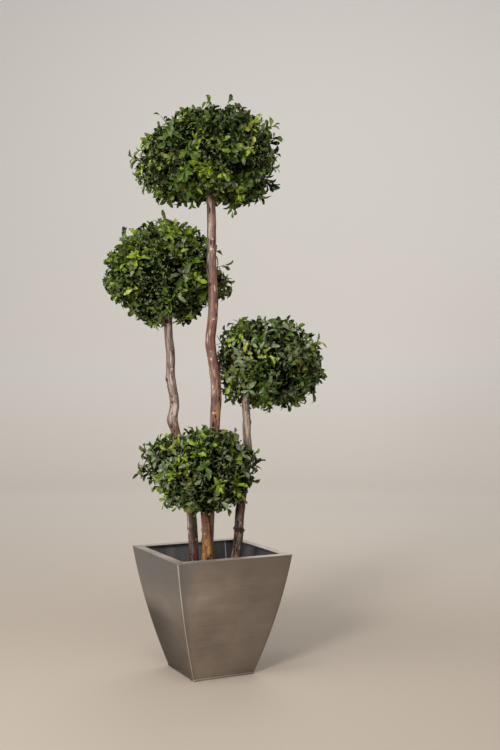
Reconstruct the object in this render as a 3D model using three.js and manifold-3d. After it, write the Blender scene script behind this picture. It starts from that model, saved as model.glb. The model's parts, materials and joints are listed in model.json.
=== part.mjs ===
import * as THREE from 'three';
import { mergeVertices } from 'three/addons/utils/BufferGeometryUtils.js';
import Module from 'manifold-3d';

// Potted ball topiary: four clipped balls of leaves on four natural stems, in a tapered square zinc planter.
// Millimetres, +Z up. The origin is the middle of the planter's flat underside, whose sides face X and Y.

const wasm = await Module();
wasm.setup();

// Planter: square in plan, wider at the mouth, with gently bowed sides and a flat folded lip
const planterHeight = 386;
const mouthSide = 391;
const footSide = 206;
const sideBow = 18.8;
const wallThickness = 4;
const floorThickness = 6;
const wallCornerRadius = 5;
const wallSteps = 6;
const hemHeight = 6;
const hemDepth = 1.4;
const lipWidth = 30;
const lipThickness = 3;
const seatGap = 0.3;

// Potting mix, well below the lip
const fillTop = 285;

// The plant stands turned in its planter: its own axes are side, depth and height
const plantTurn = THREE.MathUtils.degToRad(26.4);

// Stems: each route is the wood's own bends as [side, depth, height], from the potting mix up to the tip
const stemSides = 9;
const ringSpacing = 30;
const stems = {
  stem_tall: {
    route: [
      [-7, 0], [-6, 0, 420], [0, -3, 560], [10, -9, 700], [16, -17, 810], [19, -28, 915], [12, -34, 978],
      [1, -41, 1055], [8, -48, 1130], [11, -53, 1190], [6, -54, 1280], [6, -50, 1385], [4, -40, 1480],
      [0, -31, 1560],
    ],
    footRadius: 17, tipRadius: 14.2, flare: 0.08, phase: 0.4, bark: 0x6f4c41,
    knots: [{ height: 860, bearing: 0.2, size: 2.5 }, { height: 1290, bearing: 3.4, size: 2 }],
  },
  stem_left: {
    route: [
      [-51, 30], [-56, 30, 385], [-64, 34, 505], [-82, 40, 625], [-108, 48, 735], [-125, 54, 808],
      [-120, 57, 852], [-127, 60, 905], [-134, 63, 950], [-134, 67, 1020], [-141, 72, 1085],
      [-143, 78, 1195],
    ],
    footRadius: 16, tipRadius: 13.4, flare: 0.06, phase: 1.9, bark: 0x6d5f59,
    knots: [{ height: 452, bearing: 3.6, size: 3 }, { height: 809, bearing: 3.1, size: 4 },
      { height: 934, bearing: 3.3, size: 5 }],
  },
  stem_right: {
    route: [
      [74, 0], [81, 0, 360], [90, 0, 425], [95, 3, 505], [108, 9, 600], [121, 15, 700], [117, 18, 755],
      [116, 20, 810], [113, 24, 862], [122, 29, 930],
    ],
    footRadius: 14.6, tipRadius: 12.2, flare: 0.1, phase: 3.3, bark: 0x4d4038,
    knots: [{ height: 452, bearing: 0.2, size: 3 }, { height: 797, bearing: 0, size: 3 }],
  },
  stem_front: {
    route: [[-8, -42], [-7, -42, 392], [-10, -41, 462], [-17, -38, 522], [-27, -31, 590]],
    footRadius: 18.6, tipRadius: 12.8, flare: 0.08, phase: 5.1, bark: 0x8a5f38,
    knots: [{ height: 430, bearing: 3.3, size: 2.5 }],
  },
};
const flareHeight = 45;
const knotReach = 16;
const lobeDepths = [0.05, 0.03];
const lobePitches = [170, 90];
const widestLobe = 1.12;
const routeSamples = 120;

// Balls: middle in the plant's axes, half width and height to the clipped outline, and how square they are
const balls = {
  ball_top: {
    middle: [-12, -22, 1648], halfWidth: 230, halfHeight: 178, squareness: 2.5,
    carrier: 'stem_tall', sprays: 36,
  },
  ball_left: {
    middle: [-143, 80, 1286], halfWidth: 208, halfHeight: 177, squareness: 2.1,
    carrier: 'stem_left', sprays: 32,
  },
  ball_right: {
    middle: [197, 35, 986], halfWidth: 174, halfHeight: 153, squareness: 2.6,
    carrier: 'stem_right', sprays: 25,
  },
  ball_low: {
    middle: [-35, -20, 642], halfWidth: 192, halfHeight: 145, squareness: 2.2,
    carrier: 'stem_front', sprays: 28,
  },
};
const coreShare = 0.79;
const coreDetail = 3;
const coreLumps = 0.05;
const stemClearance = 3;
const leafLength = 54;
const leafWidth = 26;
const leafThickness = 4;
const widestAt = 0.58;
const leafRootSteps = [-8, -7, -14];
const endLeafLean = [0.35, 0.7];
const sideLeafLean = [0.85, 1.2];
const leafGrowth = [0.9, 1.15];
const sprayDepth = 37;
const twigRootRadius = 4.6;
const twigTipRadius = 3.2;
const twigStart = 0.6;
const insideStemRadii = [9, 6.3];
const insideStemSides = 6;
const clippedReach = [0.95, 1];
const strayEvery = 6;
const strayReach = 1.09;
const bearingJitter = [-0.15, 0.15];
const spaceReach = 1.12;
const otherBallReach = 1.1;
const sliverSize = 0.1;
const firstSeed = 21;

// Finishes
const zinc = { color: 0x8f8a82, roughness: 0.42, metalness: 0.85 };
const lipZinc = { color: 0xb4afa6, roughness: 0.4, metalness: 0.85 };
const pottingMix = { color: 0x241d18, roughness: 0.98, metalness: 0 };
const foliage = { color: 0x3f5a26, roughness: 0.6, metalness: 0 };

// Helpers between geometries and solids

function toSolid(geometry) {
  const bare = geometry.index ? geometry.toNonIndexed() : geometry.clone();
  bare.deleteAttribute('normal');
  bare.deleteAttribute('uv');
  const merged = mergeVertices(bare, 1e-4);
  const vertProperties = new Float32Array(merged.attributes.position.array);
  const triVerts = new Uint32Array(merged.index.array);
  return new wasm.Manifold(new wasm.Mesh({ numProp: 3, vertProperties, triVerts }));
}

function toGeometry(solid) {
  const mesh = solid.getMesh();
  const geometry = new THREE.BufferGeometry();
  geometry.setAttribute('position', new THREE.BufferAttribute(new Float32Array(mesh.vertProperties), 3));
  geometry.setIndex(new THREE.BufferAttribute(new Uint32Array(mesh.triVerts), 1));
  geometry.computeVertexNormals();
  return geometry;
}

// The largest body of a solid: loose scraps are dropped and sealed hollows are filled
function mainBody(solid) {
  const bodies = solid.decompose();
  return bodies.reduce((best, body) => (body.volume() > best.volume() ? body : best));
}

function piece(name, geometry, finish) {
  const mesh = new THREE.Mesh(geometry, new THREE.MeshStandardMaterial(finish));
  mesh.name = name;
  return mesh;
}

// Seeded draws, so that every build grows the same plant
function seeded(seed) {
  let state = seed >>> 0;
  return () => {
    state = (state + 0x6d2b79f5) >>> 0;
    let value = Math.imul(state ^ (state >>> 15), state | 1);
    value ^= value + Math.imul(value ^ (value >>> 7), value | 61);
    return ((value ^ (value >>> 14)) >>> 0) / 4294967296;
  };
}

function between([low, high], draw) {
  return low + (high - low) * draw();
}

// Planter

// The planter's outer width at a height
function outerSide(height) {
  const share = height / planterHeight;
  return footSide + (mouthSide - footSide) * share + 4 * sideBow * share * (1 - share);
}

function roundedSquare(side, radius) {
  const half = side / 2;
  const shape = new THREE.Shape();
  shape.moveTo(-half + radius, -half);
  shape.lineTo(half - radius, -half);
  shape.absarc(half - radius, -half + radius, radius, -Math.PI / 2, 0);
  shape.lineTo(half, half - radius);
  shape.absarc(half - radius, half - radius, radius, 0, Math.PI / 2);
  shape.lineTo(-half + radius, half);
  shape.absarc(-half + radius, half - radius, radius, Math.PI / 2, Math.PI);
  shape.lineTo(-half, -half + radius);
  shape.absarc(-half + radius, -half + radius, radius, Math.PI, Math.PI * 1.5);
  return shape;
}

// A block that follows the planter's flaring sides, inset from them all round
function flaringBlock(bottom, top, inset, steps) {
  const outline = roundedSquare(mouthSide, wallCornerRadius);
  const geometry = new THREE.ExtrudeGeometry(outline, {
    depth: top - bottom, steps, bevelEnabled: false, curveSegments: 2,
  });
  geometry.translate(0, 0, bottom);
  const position = geometry.attributes.position;
  for (let i = 0; i < position.count; i += 1) {
    const scale = (outerSide(position.getZ(i)) - 2 * inset) / mouthSide;
    position.setX(i, position.getX(i) * scale);
    position.setY(i, position.getY(i) * scale);
  }
  return geometry;
}

function planterBody() {
  const wallTop = planterHeight - lipThickness - seatGap;
  const outside = toSolid(flaringBlock(0, wallTop, 0, wallSteps));
  const hem = toSolid(flaringBlock(0, hemHeight, -hemDepth, 1));
  const inside = toSolid(flaringBlock(floorThickness, planterHeight, wallThickness, wallSteps));
  return piece('planter_body', toGeometry(outside.add(hem).subtract(inside)), zinc);
}

// One mitred length of the folded lip, lying along the front side
function lipLength(name, turn) {
  const half = mouthSide / 2;
  const mitreGap = seatGap / Math.SQRT2;
  const outline = new THREE.Shape();
  outline.moveTo(-half + mitreGap, -half);
  outline.lineTo(half - mitreGap, -half);
  outline.lineTo(half - lipWidth - mitreGap, -half + lipWidth);
  outline.lineTo(-half + lipWidth + mitreGap, -half + lipWidth);
  outline.closePath();
  const geometry = new THREE.ExtrudeGeometry(outline, { depth: lipThickness, bevelEnabled: false });
  const length = piece(name, geometry, lipZinc);
  length.position.z = planterHeight - lipThickness;
  length.rotation.z = turn;
  return length;
}

function planter() {
  const group = new THREE.Group();
  group.add(planterBody());
  ['front', 'right', 'back', 'left'].forEach((side, index) => {
    group.add(lipLength(`planter_lip_${side}`, (index * Math.PI) / 2));
  });
  const mix = flaringBlock(floorThickness + seatGap, fillTop, wallThickness + seatGap, wallSteps);
  group.add(piece('potting_mix', mix, pottingMix));
  return group;
}

// Stems

function stemCurve(stem) {
  const points = stem.route.map(([side, depth, height = fillTop + seatGap]) => (
    new THREE.Vector3(side, depth, height)
  ));
  return new THREE.CatmullRomCurve3(points, false, 'centripetal');
}

// Radius at a height, with the foot's flare, before knots
function stemRadius(stem, height) {
  const foot = fillTop + seatGap;
  const tip = stem.route.at(-1)[2];
  const share = THREE.MathUtils.clamp((height - foot) / (tip - foot), 0, 1);
  const taper = THREE.MathUtils.lerp(stem.footRadius, stem.tipRadius, share);
  return taper * (1 + stem.flare * Math.exp(-(height - foot) / flareHeight));
}

// How far the bark stands out at a height and bearing: a slightly lobed section, and the knots
function barkRadius(stem, height, bearing) {
  const lobes = 1 + lobeDepths[0] * Math.cos(2 * bearing + stem.phase + height / lobePitches[0])
    + lobeDepths[1] * Math.cos(3 * bearing - stem.phase - height / lobePitches[1]);
  const knots = stem.knots.reduce((sum, knot) => {
    const along = Math.exp(-0.5 * ((height - knot.height) / knotReach) ** 2);
    const round = Math.max(0, Math.cos(bearing - knot.bearing)) ** 2;
    return sum + knot.size * along * round;
  }, 0);
  return stemRadius(stem, height) * lobes + knots;
}

// A cylinder laid on the stem's route with level rings, so that both its cuts are flat
function stemGeometry(stem, extra = 0) {
  const curve = stemCurve(stem);
  const steps = Math.ceil(curve.getLength() / ringSpacing);
  const geometry = new THREE.CylinderGeometry(1, 1, 1, stemSides, steps);
  geometry.rotateX(Math.PI / 2);
  const position = geometry.attributes.position;
  for (let i = 0; i < position.count; i += 1) {
    const share = THREE.MathUtils.clamp(position.getZ(i) + 0.5, 0, 1);
    const centre = curve.getPointAt(share);
    const bearing = Math.atan2(position.getY(i), position.getX(i));
    const onAxis = Math.hypot(position.getX(i), position.getY(i)) < 0.5;
    const radius = onAxis ? 0 : barkRadius(stem, centre.z, bearing) + extra;
    const lift = share === 1 ? Math.min(extra, seatGap) : 0;
    const outward = new THREE.Vector3(radius * Math.cos(bearing), radius * Math.sin(bearing), lift);
    position.setXYZ(i, ...centre.add(outward));
  }
  return geometry;
}

// Stem middles by height, for the leaves to keep clear of
const limbs = Object.values(stems).map((stem) => {
  const curve = stemCurve(stem);
  return { stem, points: curve.getSpacedPoints(routeSamples) };
});

function clearOfLimbs(point, halfWidth) {
  return limbs.every(({ stem, points }) => {
    const first = points[0].z;
    const last = points.at(-1).z;
    if (point.z < first - halfWidth || point.z > last + halfWidth) return true;
    const offLevel = (at) => Math.abs(at.z - point.z);
    const nearest = points.reduce((best, at) => (offLevel(at) < offLevel(best) ? at : best));
    const away = Math.hypot(point.x - nearest.x, point.y - nearest.y);
    return away > stemRadius(stem, point.z) * widestLobe + halfWidth + stemClearance;
  });
}

// Balls

// Distance from the ball's middle to its clipped outline along a direction
function outline(ball, direction) {
  const flat = Math.hypot(direction.x, direction.y) / ball.halfWidth;
  const tall = Math.abs(direction.z) / ball.halfHeight;
  const n = ball.squareness;
  return 1 / (flat ** n + tall ** n) ** (1 / n);
}

function shareOfOutline(ball, point) {
  const from = point.clone().sub(new THREE.Vector3(...ball.middle));
  const distance = from.length();
  return distance / outline(ball, from.normalize());
}

function insideOwnSpace(name, point) {
  return Object.entries(balls).every(([other, ball]) => {
    const share = shareOfOutline(ball, point);
    return other === name ? share < spaceReach : share > otherBallReach;
  });
}

// The dense middle of a ball, with shallow lumps
function core(ball, draw) {
  const geometry = mergeVertices(new THREE.IcosahedronGeometry(1, coreDetail).deleteAttribute('normal')
    .deleteAttribute('uv'), 1e-3);
  const position = geometry.attributes.position;
  const middle = new THREE.Vector3(...ball.middle);
  for (let i = 0; i < position.count; i += 1) {
    const direction = new THREE.Vector3().fromBufferAttribute(position, i).normalize();
    const share = coreShare * (1 + between([-coreLumps, coreLumps], draw));
    const at = direction.clone().multiplyScalar(outline(ball, direction) * share).add(middle);
    position.setXYZ(i, at.x, at.y, at.z);
  }
  return toSolid(geometry);
}

// A straight tapered stick with three sides or more, from one point to another
function stick(from, to, fromRadius, toRadius, sides) {
  const along = to.clone().sub(from);
  const geometry = new THREE.CylinderGeometry(toRadius, fromRadius, along.length(), sides, 1);
  geometry.translate(0, along.length() / 2, 0);
  const turn = new THREE.Quaternion().setFromUnitVectors(new THREE.Vector3(0, 1, 0), along.normalize());
  geometry.applyQuaternion(turn);
  geometry.translate(from.x, from.y, from.z);
  return geometry;
}

// A leaf of eight faces: pointed at both ends and widest past its middle, with its root at the given point
function leaf(root, along, facing, length) {
  const geometry = new THREE.OctahedronGeometry(1, 0);
  const position = geometry.attributes.position;
  const grown = length / leafLength;
  const across = new THREE.Vector3().crossVectors(along, facing).normalize();
  const up = new THREE.Vector3().crossVectors(across, along).normalize();
  for (let i = 0; i < position.count; i += 1) {
    const end = position.getY(i);
    const stretch = end > 0.5 ? length : end < -0.5 ? 0 : length * widestAt;
    const at = root.clone()
      .addScaledVector(along, stretch)
      .addScaledVector(across, (position.getX(i) * leafWidth * grown) / 2)
      .addScaledVector(up, (position.getZ(i) * leafThickness) / 2);
    position.setXYZ(i, at.x, at.y, at.z);
  }
  return geometry;
}

function leafFits(name, root, along, length) {
  return [0.1, 0.35, 0.6, 0.8, 1].every((share) => {
    const point = root.clone().addScaledVector(along, share * length);
    const halfWidth = share > 0.2 && share < 0.9 ? leafWidth / 2 : 3;
    return insideOwnSpace(name, point) && clearOfLimbs(point, halfWidth);
  });
}

// One spray: a twig from the stem inside, and leaves round its end
function spray(name, middle, direction, reach, draw) {
  const tip = middle.clone().addScaledVector(direction, reach - sprayDepth);
  const start = middle.clone().addScaledVector(direction, reach * twigStart);
  const alongTwig = [0, 0.5, 1].map((share) => start.clone().lerp(tip, share));
  if (!alongTwig.every((at) => clearOfLimbs(at, twigRootRadius))) return [];
  const solids = [];
  const side = new THREE.Vector3(-direction.y, direction.x, 0.3).cross(direction).normalize();
  const spin = draw() * Math.PI * 2;
  leafRootSteps.forEach((step, i) => {
    const bearing = spin + (i * Math.PI * 2) / leafRootSteps.length;
    const around = side.clone().applyAxisAngle(direction, bearing);
    const lean = between(i === 0 ? endLeafLean : sideLeafLean, draw);
    const along = direction.clone().multiplyScalar(Math.cos(lean)).addScaledVector(around, Math.sin(lean));
    const length = leafLength * between(leafGrowth, draw);
    const root = tip.clone().addScaledVector(direction, step);
    if (leafFits(name, root, along, length)) solids.push(toSolid(leaf(root, along, direction, length)));
  });
  if (solids.length > 0) solids.push(toSolid(stick(start, tip, twigRootRadius, twigTipRadius, 3)));
  return solids;
}

// A ball: its own stem stands on the carrier's tip, twigs leave it on all sides, and a core fills the middle
function ballOfLeaves(name, ball, seed) {
  const draw = seeded(seed);
  const middle = new THREE.Vector3(...ball.middle);
  const seat = new THREE.Vector3(...stems[ball.carrier].route.at(-1));
  seat.z += seatGap;
  const solids = [core(ball, draw), toSolid(stick(seat, middle, ...insideStemRadii, insideStemSides))];
  const golden = Math.PI * (3 - Math.sqrt(5));
  for (let i = 0; i < ball.sprays; i += 1) {
    const level = 1 - (2 * (i + 0.5)) / ball.sprays;
    const bearing = i * golden + between(bearingJitter, draw);
    const flat = Math.sqrt(1 - level * level);
    const direction = new THREE.Vector3(flat * Math.cos(bearing), flat * Math.sin(bearing), level);
    const share = i % strayEvery === 3 ? strayReach : between(clippedReach, draw);
    solids.push(...spray(name, middle, direction, outline(ball, direction) * share, draw));
  }
  const clearances = Object.values(stems).map((stem) => toSolid(stemGeometry(stem, 2 * seatGap)));
  const joined = wasm.Manifold.union(solids).subtract(wasm.Manifold.union(clearances));
  return toGeometry(mainBody(joined).simplify(sliverSize));
}

function plant() {
  const group = new THREE.Group();
  group.rotation.z = -plantTurn;
  for (const [name, stem] of Object.entries(stems)) {
    const bark = { color: stem.bark, roughness: 0.85, metalness: 0 };
    group.add(piece(name, toGeometry(toSolid(stemGeometry(stem))), bark));
  }
  Object.entries(balls).forEach(([name, ball], index) => {
    group.add(piece(name, ballOfLeaves(name, ball, firstSeed + index), foliage));
  });
  return group;
}

const topiary = new THREE.Group();
topiary.add(planter(), plant());

export default topiary;
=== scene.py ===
import json
import math
import bmesh
import bpy
import numpy as np
from mathutils import Matrix, Vector, noise

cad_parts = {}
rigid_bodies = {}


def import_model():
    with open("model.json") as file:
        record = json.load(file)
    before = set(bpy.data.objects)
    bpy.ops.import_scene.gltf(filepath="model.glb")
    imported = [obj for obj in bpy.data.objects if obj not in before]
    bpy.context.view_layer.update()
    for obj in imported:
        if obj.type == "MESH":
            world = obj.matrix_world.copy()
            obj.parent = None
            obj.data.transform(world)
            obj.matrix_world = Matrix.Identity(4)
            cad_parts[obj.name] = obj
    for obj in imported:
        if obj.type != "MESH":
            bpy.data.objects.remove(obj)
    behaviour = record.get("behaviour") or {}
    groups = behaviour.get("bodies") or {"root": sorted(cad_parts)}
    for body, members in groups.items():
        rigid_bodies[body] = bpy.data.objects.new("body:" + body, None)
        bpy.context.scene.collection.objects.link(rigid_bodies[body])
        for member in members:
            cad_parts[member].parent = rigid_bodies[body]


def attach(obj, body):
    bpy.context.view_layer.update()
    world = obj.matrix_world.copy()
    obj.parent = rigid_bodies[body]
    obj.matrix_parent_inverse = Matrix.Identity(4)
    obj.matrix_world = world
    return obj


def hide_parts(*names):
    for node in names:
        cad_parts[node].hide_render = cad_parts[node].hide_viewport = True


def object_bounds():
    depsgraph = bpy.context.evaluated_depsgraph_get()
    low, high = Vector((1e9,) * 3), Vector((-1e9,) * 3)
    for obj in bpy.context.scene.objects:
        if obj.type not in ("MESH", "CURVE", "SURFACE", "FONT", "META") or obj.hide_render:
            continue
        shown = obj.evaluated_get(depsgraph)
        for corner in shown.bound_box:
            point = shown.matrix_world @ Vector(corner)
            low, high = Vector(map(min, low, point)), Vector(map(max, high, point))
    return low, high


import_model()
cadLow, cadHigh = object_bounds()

# Potted ball topiary: four clipped balls of leaves on four natural stems, in a tapered square zinc planter.
# Lengths are in millimetres where no note says metres. The plant's own axes are side, depth and height.

mm = 0.001
plantTurn = math.radians(-26.4)  # the plant's own front faces the camera, the planter stands turned to it
goldenTurn = math.pi * (3 - math.sqrt(5))
scene = bpy.context.scene


# Small helpers

def tone(red, green, blue):
    # A colour as a paint card gives it, 0 to 255, turned into the shader's linear colour
    def linear(value):
        share = value / 255
        return share / 12.92 if share <= 0.04045 else ((share + 0.055) / 1.055) ** 2.4
    return (linear(red), linear(green), linear(blue), 1.0)


def turnToPlanter(vectors):
    # From the plant's own axes to the planter's
    vectors = np.asarray(vectors, float)
    side, depth = vectors[..., 0], vectors[..., 1]
    cos, sin = math.cos(plantTurn), math.sin(plantTurn)
    return np.stack([side * cos - depth * sin, side * sin + depth * cos, vectors[..., 2]], axis=-1)


def unit(vectors):
    return vectors / np.linalg.norm(vectors, axis=-1, keepdims=True)


def lerp(low, high, share):
    return low + (high - low) * share


def fractal(spots, smoothness, fineness, octaves, shift=(0, 0, 0)):
    # Noise in layers, each finer than the last by its fineness and weaker by its smoothness
    shift = Vector(shift)
    return np.array([noise.fractal(Vector(spot) + shift, smoothness, fineness, octaves) for spot in spots])


def newMesh(name, points, faces, edges=()):
    mesh = bpy.data.meshes.new(name)
    mesh.from_pydata(np.asarray(points, float).tolist(), list(edges), faces)
    mesh.update()
    return mesh


def meshOf(name, shape):
    mesh = bpy.data.meshes.new(name)
    shape.to_mesh(mesh)
    shape.free()
    return mesh


def setAttribute(mesh, name, kind, values):
    field = {"FLOAT": "value", "INT": "value", "QUATERNION": "value", "FLOAT_VECTOR": "vector"}[kind]
    attribute = mesh.attributes.new(name, kind, "POINT")
    attribute.data.foreach_set(field, np.asarray(values, np.float32 if kind != "INT" else np.int32).ravel())


def settle(name, mesh, finish, nodes, sharpAngle):
    # Makes a finished piece of a mesh, at rest on the object and standing for its nodes
    piece = bpy.data.objects.new(name, mesh)
    scene.collection.objects.link(piece)
    if finish:
        mesh.materials.clear()
        mesh.materials.append(finish)
    if sharpAngle:
        mesh.shade_smooth()
        mesh.set_sharp_from_angle(angle=math.radians(sharpAngle))
    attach(piece, "root")
    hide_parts(*nodes)


def loft(rings, closeStart=True):
    # Points and faces of a skin through closed rings of equal size, with flat caps
    count = len(rings[0])
    faces = []
    for level in range(len(rings) - 1):
        low, high = level * count, (level + 1) * count
        for i in range(count):
            j = (i + 1) % count
            faces.append((low + i, low + j, high + j, high + i))
    if closeStart:
        faces.append(tuple(reversed(range(count))))
    last = (len(rings) - 1) * count
    faces.append(tuple(range(last, last + count)))
    return np.concatenate(rings), faces


# Helpers for node trees

def addNode(tree, kind, inputs=None, **settings):
    made = tree.nodes.new(kind)
    for key, value in settings.items():
        setattr(made, key, value)
    for socket, value in (inputs or {}).items():
        if isinstance(value, bpy.types.NodeSocket):
            tree.links.new(value, made.inputs[socket])
        else:
            made.inputs[socket].default_value = value
    return made


def newMaterial(name, colour, roughness, metallic=0.0):
    material = bpy.data.materials.new(name)
    material.use_nodes = True
    shader = material.node_tree.nodes["Principled BSDF"]
    shader.inputs["Base Color"].default_value = colour
    shader.inputs["Roughness"].default_value = roughness
    shader.inputs["Metallic"].default_value = metallic
    material.diffuse_color = colour
    return material, material.node_tree, shader


def objectNoise(tree, stretch, detail=3.0, roughness=0.6, source=None):
    # Noise in the object's own space, or in an attribute's; a high stretch makes it fine that way
    if source is None:
        source = addNode(tree, "ShaderNodeTexCoord").outputs["Object"]
    mapping = addNode(tree, "ShaderNodeMapping", {"Vector": source, "Scale": stretch})
    made = addNode(tree, "ShaderNodeTexNoise", {
        "Vector": mapping.outputs["Vector"], "Scale": 1.0, "Detail": detail, "Roughness": roughness,
    })
    return made.outputs["Fac"]


def placeOn(tree, axis):
    # Where a point lies along one of the object's own axes, in metres
    place = addNode(tree, "ShaderNodeTexCoord").outputs["Object"]
    return addNode(tree, "ShaderNodeSeparateXYZ", {"Vector": place}).outputs[axis]


def combine(tree, operation, first, second=0.0):
    return addNode(tree, "ShaderNodeMath", {0: first, 1: second}, operation=operation).outputs["Value"]


def multiply(tree, first, second):
    return combine(tree, "MULTIPLY", first, second)


def spread(tree, value, fromLow, fromHigh, toLow=0.0, toHigh=1.0):
    made = addNode(tree, "ShaderNodeMapRange", {
        "Value": value, "From Min": fromLow, "From Max": fromHigh, "To Min": toLow, "To Max": toHigh,
    })
    return made.outputs["Result"]


def blendColours(tree, factor, low, high):
    made = addNode(tree, "ShaderNodeMix", {0: factor, 6: low, 7: high}, data_type="RGBA", blend_type="MIX")
    return made.outputs[2]


def cover(tree, under, over, value, *span):
    # Lays one colour over another as a value goes from the start of a span to its end
    return blendColours(tree, spread(tree, value, *span), under, over)


def attributeValue(tree, name):
    return addNode(tree, "ShaderNodeAttribute", attribute_name=name).outputs["Fac"]


def shareAlong(tree, spans, share=1.0):
    # How far a point lies along every span, multiplied. A span is on an axis, in metres, or on an attribute.
    for source, span in spans.items():
        value = placeOn(tree, source) if source in "XYZ" else attributeValue(tree, source)
        share = multiply(tree, share, spread(tree, value, *span))
    return share


def roughen(tree, shader, height, strength, distance):
    bump = addNode(tree, "ShaderNodeBump", {"Height": height, "Strength": strength, "Distance": distance})
    tree.links.new(bump.outputs["Normal"], shader.inputs["Normal"])


def newTree(name, sockets):
    tree = bpy.data.node_groups.new(name, "GeometryNodeTree")
    tree.interface.new_socket("Geometry", in_out="INPUT", socket_type="NodeSocketGeometry")
    for label, kind, value in sockets:
        socket = tree.interface.new_socket(label, in_out="INPUT", socket_type=kind)
        if value is not None:
            socket.default_value = value
    tree.interface.new_socket("Geometry", in_out="OUTPUT", socket_type="NodeSocketGeometry")
    return tree, tree.nodes.new("NodeGroupInput"), tree.nodes.new("NodeGroupOutput")


def grow(name, mesh, tree, values, scratch=()):
    # Runs a geometry tree on a mesh and gives the result as a plain mesh
    carrier = bpy.data.objects.new(name + "_growth", mesh)
    scene.collection.objects.link(carrier)
    modifier = carrier.modifiers.new("growth", "NODES")
    modifier.node_group = tree
    for socket in tree.interface.items_tree:
        if socket.in_out == "INPUT" and socket.name in values:
            modifier[socket.identifier] = values[socket.name]
    evaluated = carrier.evaluated_get(bpy.context.evaluated_depsgraph_get())
    made = bpy.data.meshes.new_from_object(evaluated)
    carrier.modifiers.remove(modifier)
    bpy.data.objects.remove(carrier)
    for label in scratch:
        if label in made.attributes:
            made.attributes.remove(made.attributes[label])
    made.name = name
    return made


def namedField(tree, name, kind):
    made = addNode(tree, "GeometryNodeInputNamedAttribute", {"Name": name}, data_type=kind)
    return made.outputs["Attribute"]


# Camera, floor and lights

viewpoint = {
    "place": (-1.391, -3.089, 0.94),  # metres, where the photograph was taken from
    "lens": 50.4,
    "sensor": 36,
    "shiftUp": 0.004,
    "picture": (500, 750),  # the photograph's columns and rows
}

studio = {
    "floorRings": (0.9, 2.4, 4.2, 6.0),  # metres, the last one where the cove starts
    "coveRadius": 1.4,
    "coveSteps": 8,
    "wallTop": 5.0,
    "sectors": 96,
    "floorRoughness": 0.75,
    "floorColours": (tone(196, 183, 168), tone(238, 231, 222)),  # round the plant and far from it
    "farFloor": (1.0, 5.0),  # metres
    "wallColour": tone(246, 243, 240),
    "wallRise": 1.0,  # metres up the cove where the wall's colour is reached
    "skyColour": tone(240, 240, 240),
    "skyStrength": 0.42,
    "lamps": {  # place and aim in the plant's own axes, metres; size, watts, colour and fan in degrees
        "keyLamp": ((-1.4, -3.4, 1.9), (0, 0, 1.0), 0.8, 27.5, (1.0, 0.98, 0.95), 90),
        "topLamp": ((-0.5, -1.2, 3.8), (0, 0, 0.9), 1.4, 28, (1.0, 0.98, 0.95), 180),
        "wallLamp": ((0.3, 3.4, 4.3), (0, 7.6, 1.2), 3.0, 43, (1.0, 0.99, 0.97), 180),
        "leftLamp": ((-2.6, -1.0, 1.5), (0, 0, 0.9), 1.8, 20, (0.97, 0.98, 1.0), 180),
        "rightLamp": ((2.6, -2.4, 1.6), (0, 0, 0.8), 2.4, 12, (1.0, 0.99, 0.98), 180),
        "backLamp": ((0.6, 2.6, 3.0), (0, 0, 1.0), 2.0, 20, (0.99, 0.99, 1.0), 180),
    },
}


def addCamera():
    data = bpy.data.cameras.new("photoCamera")
    data.lens = viewpoint["lens"]
    data.sensor_width = viewpoint["sensor"]
    data.shift_y = viewpoint["shiftUp"]
    camera = bpy.data.objects.new("photoCamera", data)
    camera.location = viewpoint["place"]
    camera.rotation_euler = (math.pi / 2, 0, plantTurn)
    scene.collection.objects.link(camera)
    scene.camera = camera


def addFloor():
    # A round floor that curves up into a plain wall
    cove, floorRadius = studio["coveRadius"], studio["floorRings"][-1]
    profile = [(radius, 0.0) for radius in studio["floorRings"]]
    for angle in np.linspace(0, math.pi / 2, studio["coveSteps"] + 1)[1:]:
        profile.append((floorRadius + cove * math.sin(angle), cove * (1 - math.cos(angle))))
    profile.append((floorRadius + cove, studio["wallTop"]))
    bearings = np.linspace(0, 2 * math.pi, studio["sectors"], endpoint=False)
    rings = [
        np.stack([r * np.cos(bearings), r * np.sin(bearings), np.full_like(bearings, z)], axis=-1)
        for r, z in reversed(profile)
    ]
    points, faces = loft(rings, closeStart=False)
    mesh = newMesh("studioFloor", points, faces)
    material, tree, shader = newMaterial("paleFloor", studio["floorColours"][0], studio["floorRoughness"])
    place = addNode(tree, "ShaderNodeTexCoord").outputs["Object"]
    away = addNode(tree, "ShaderNodeVectorMath", {0: place}, operation="LENGTH").outputs["Value"]
    colour = cover(tree, *studio["floorColours"], away, *studio["farFloor"])
    colour = cover(tree, colour, studio["wallColour"], placeOn(tree, "Z"), 0.0, studio["wallRise"])
    tree.links.new(colour, shader.inputs["Base Color"])
    mesh.materials.append(material)
    mesh.shade_smooth()
    floor = bpy.data.objects.new("studioFloor", mesh)
    scene.collection.objects.link(floor)


def addLights():
    world = bpy.data.worlds.new("studioSky")
    world.use_nodes = True
    background = world.node_tree.nodes["Background"]
    background.inputs["Color"].default_value = studio["skyColour"]
    background.inputs["Strength"].default_value = studio["skyStrength"]
    scene.world = world
    for name, (place, aim, size, watts, colour, fan) in studio["lamps"].items():
        data = bpy.data.lights.new(name, "AREA")
        data.shape = "SQUARE"
        data.size = size
        data.energy = watts
        data.spread = math.radians(fan)
        data.color = colour
        lamp = bpy.data.objects.new(name, data)
        lamp.location = turnToPlanter(place)
        towards = Vector(turnToPlanter(aim)) - lamp.location
        lamp.rotation_euler = towards.to_track_quat("-Z", "Y").to_euler()
        scene.collection.objects.link(lamp)


scene.view_settings.view_transform = "Standard"
addCamera()
addFloor()
addLights()
print("studio ready")


# Planter: walls of thin zinc with a rolled hem, a dark painted inside, and a flat folded lip

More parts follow.
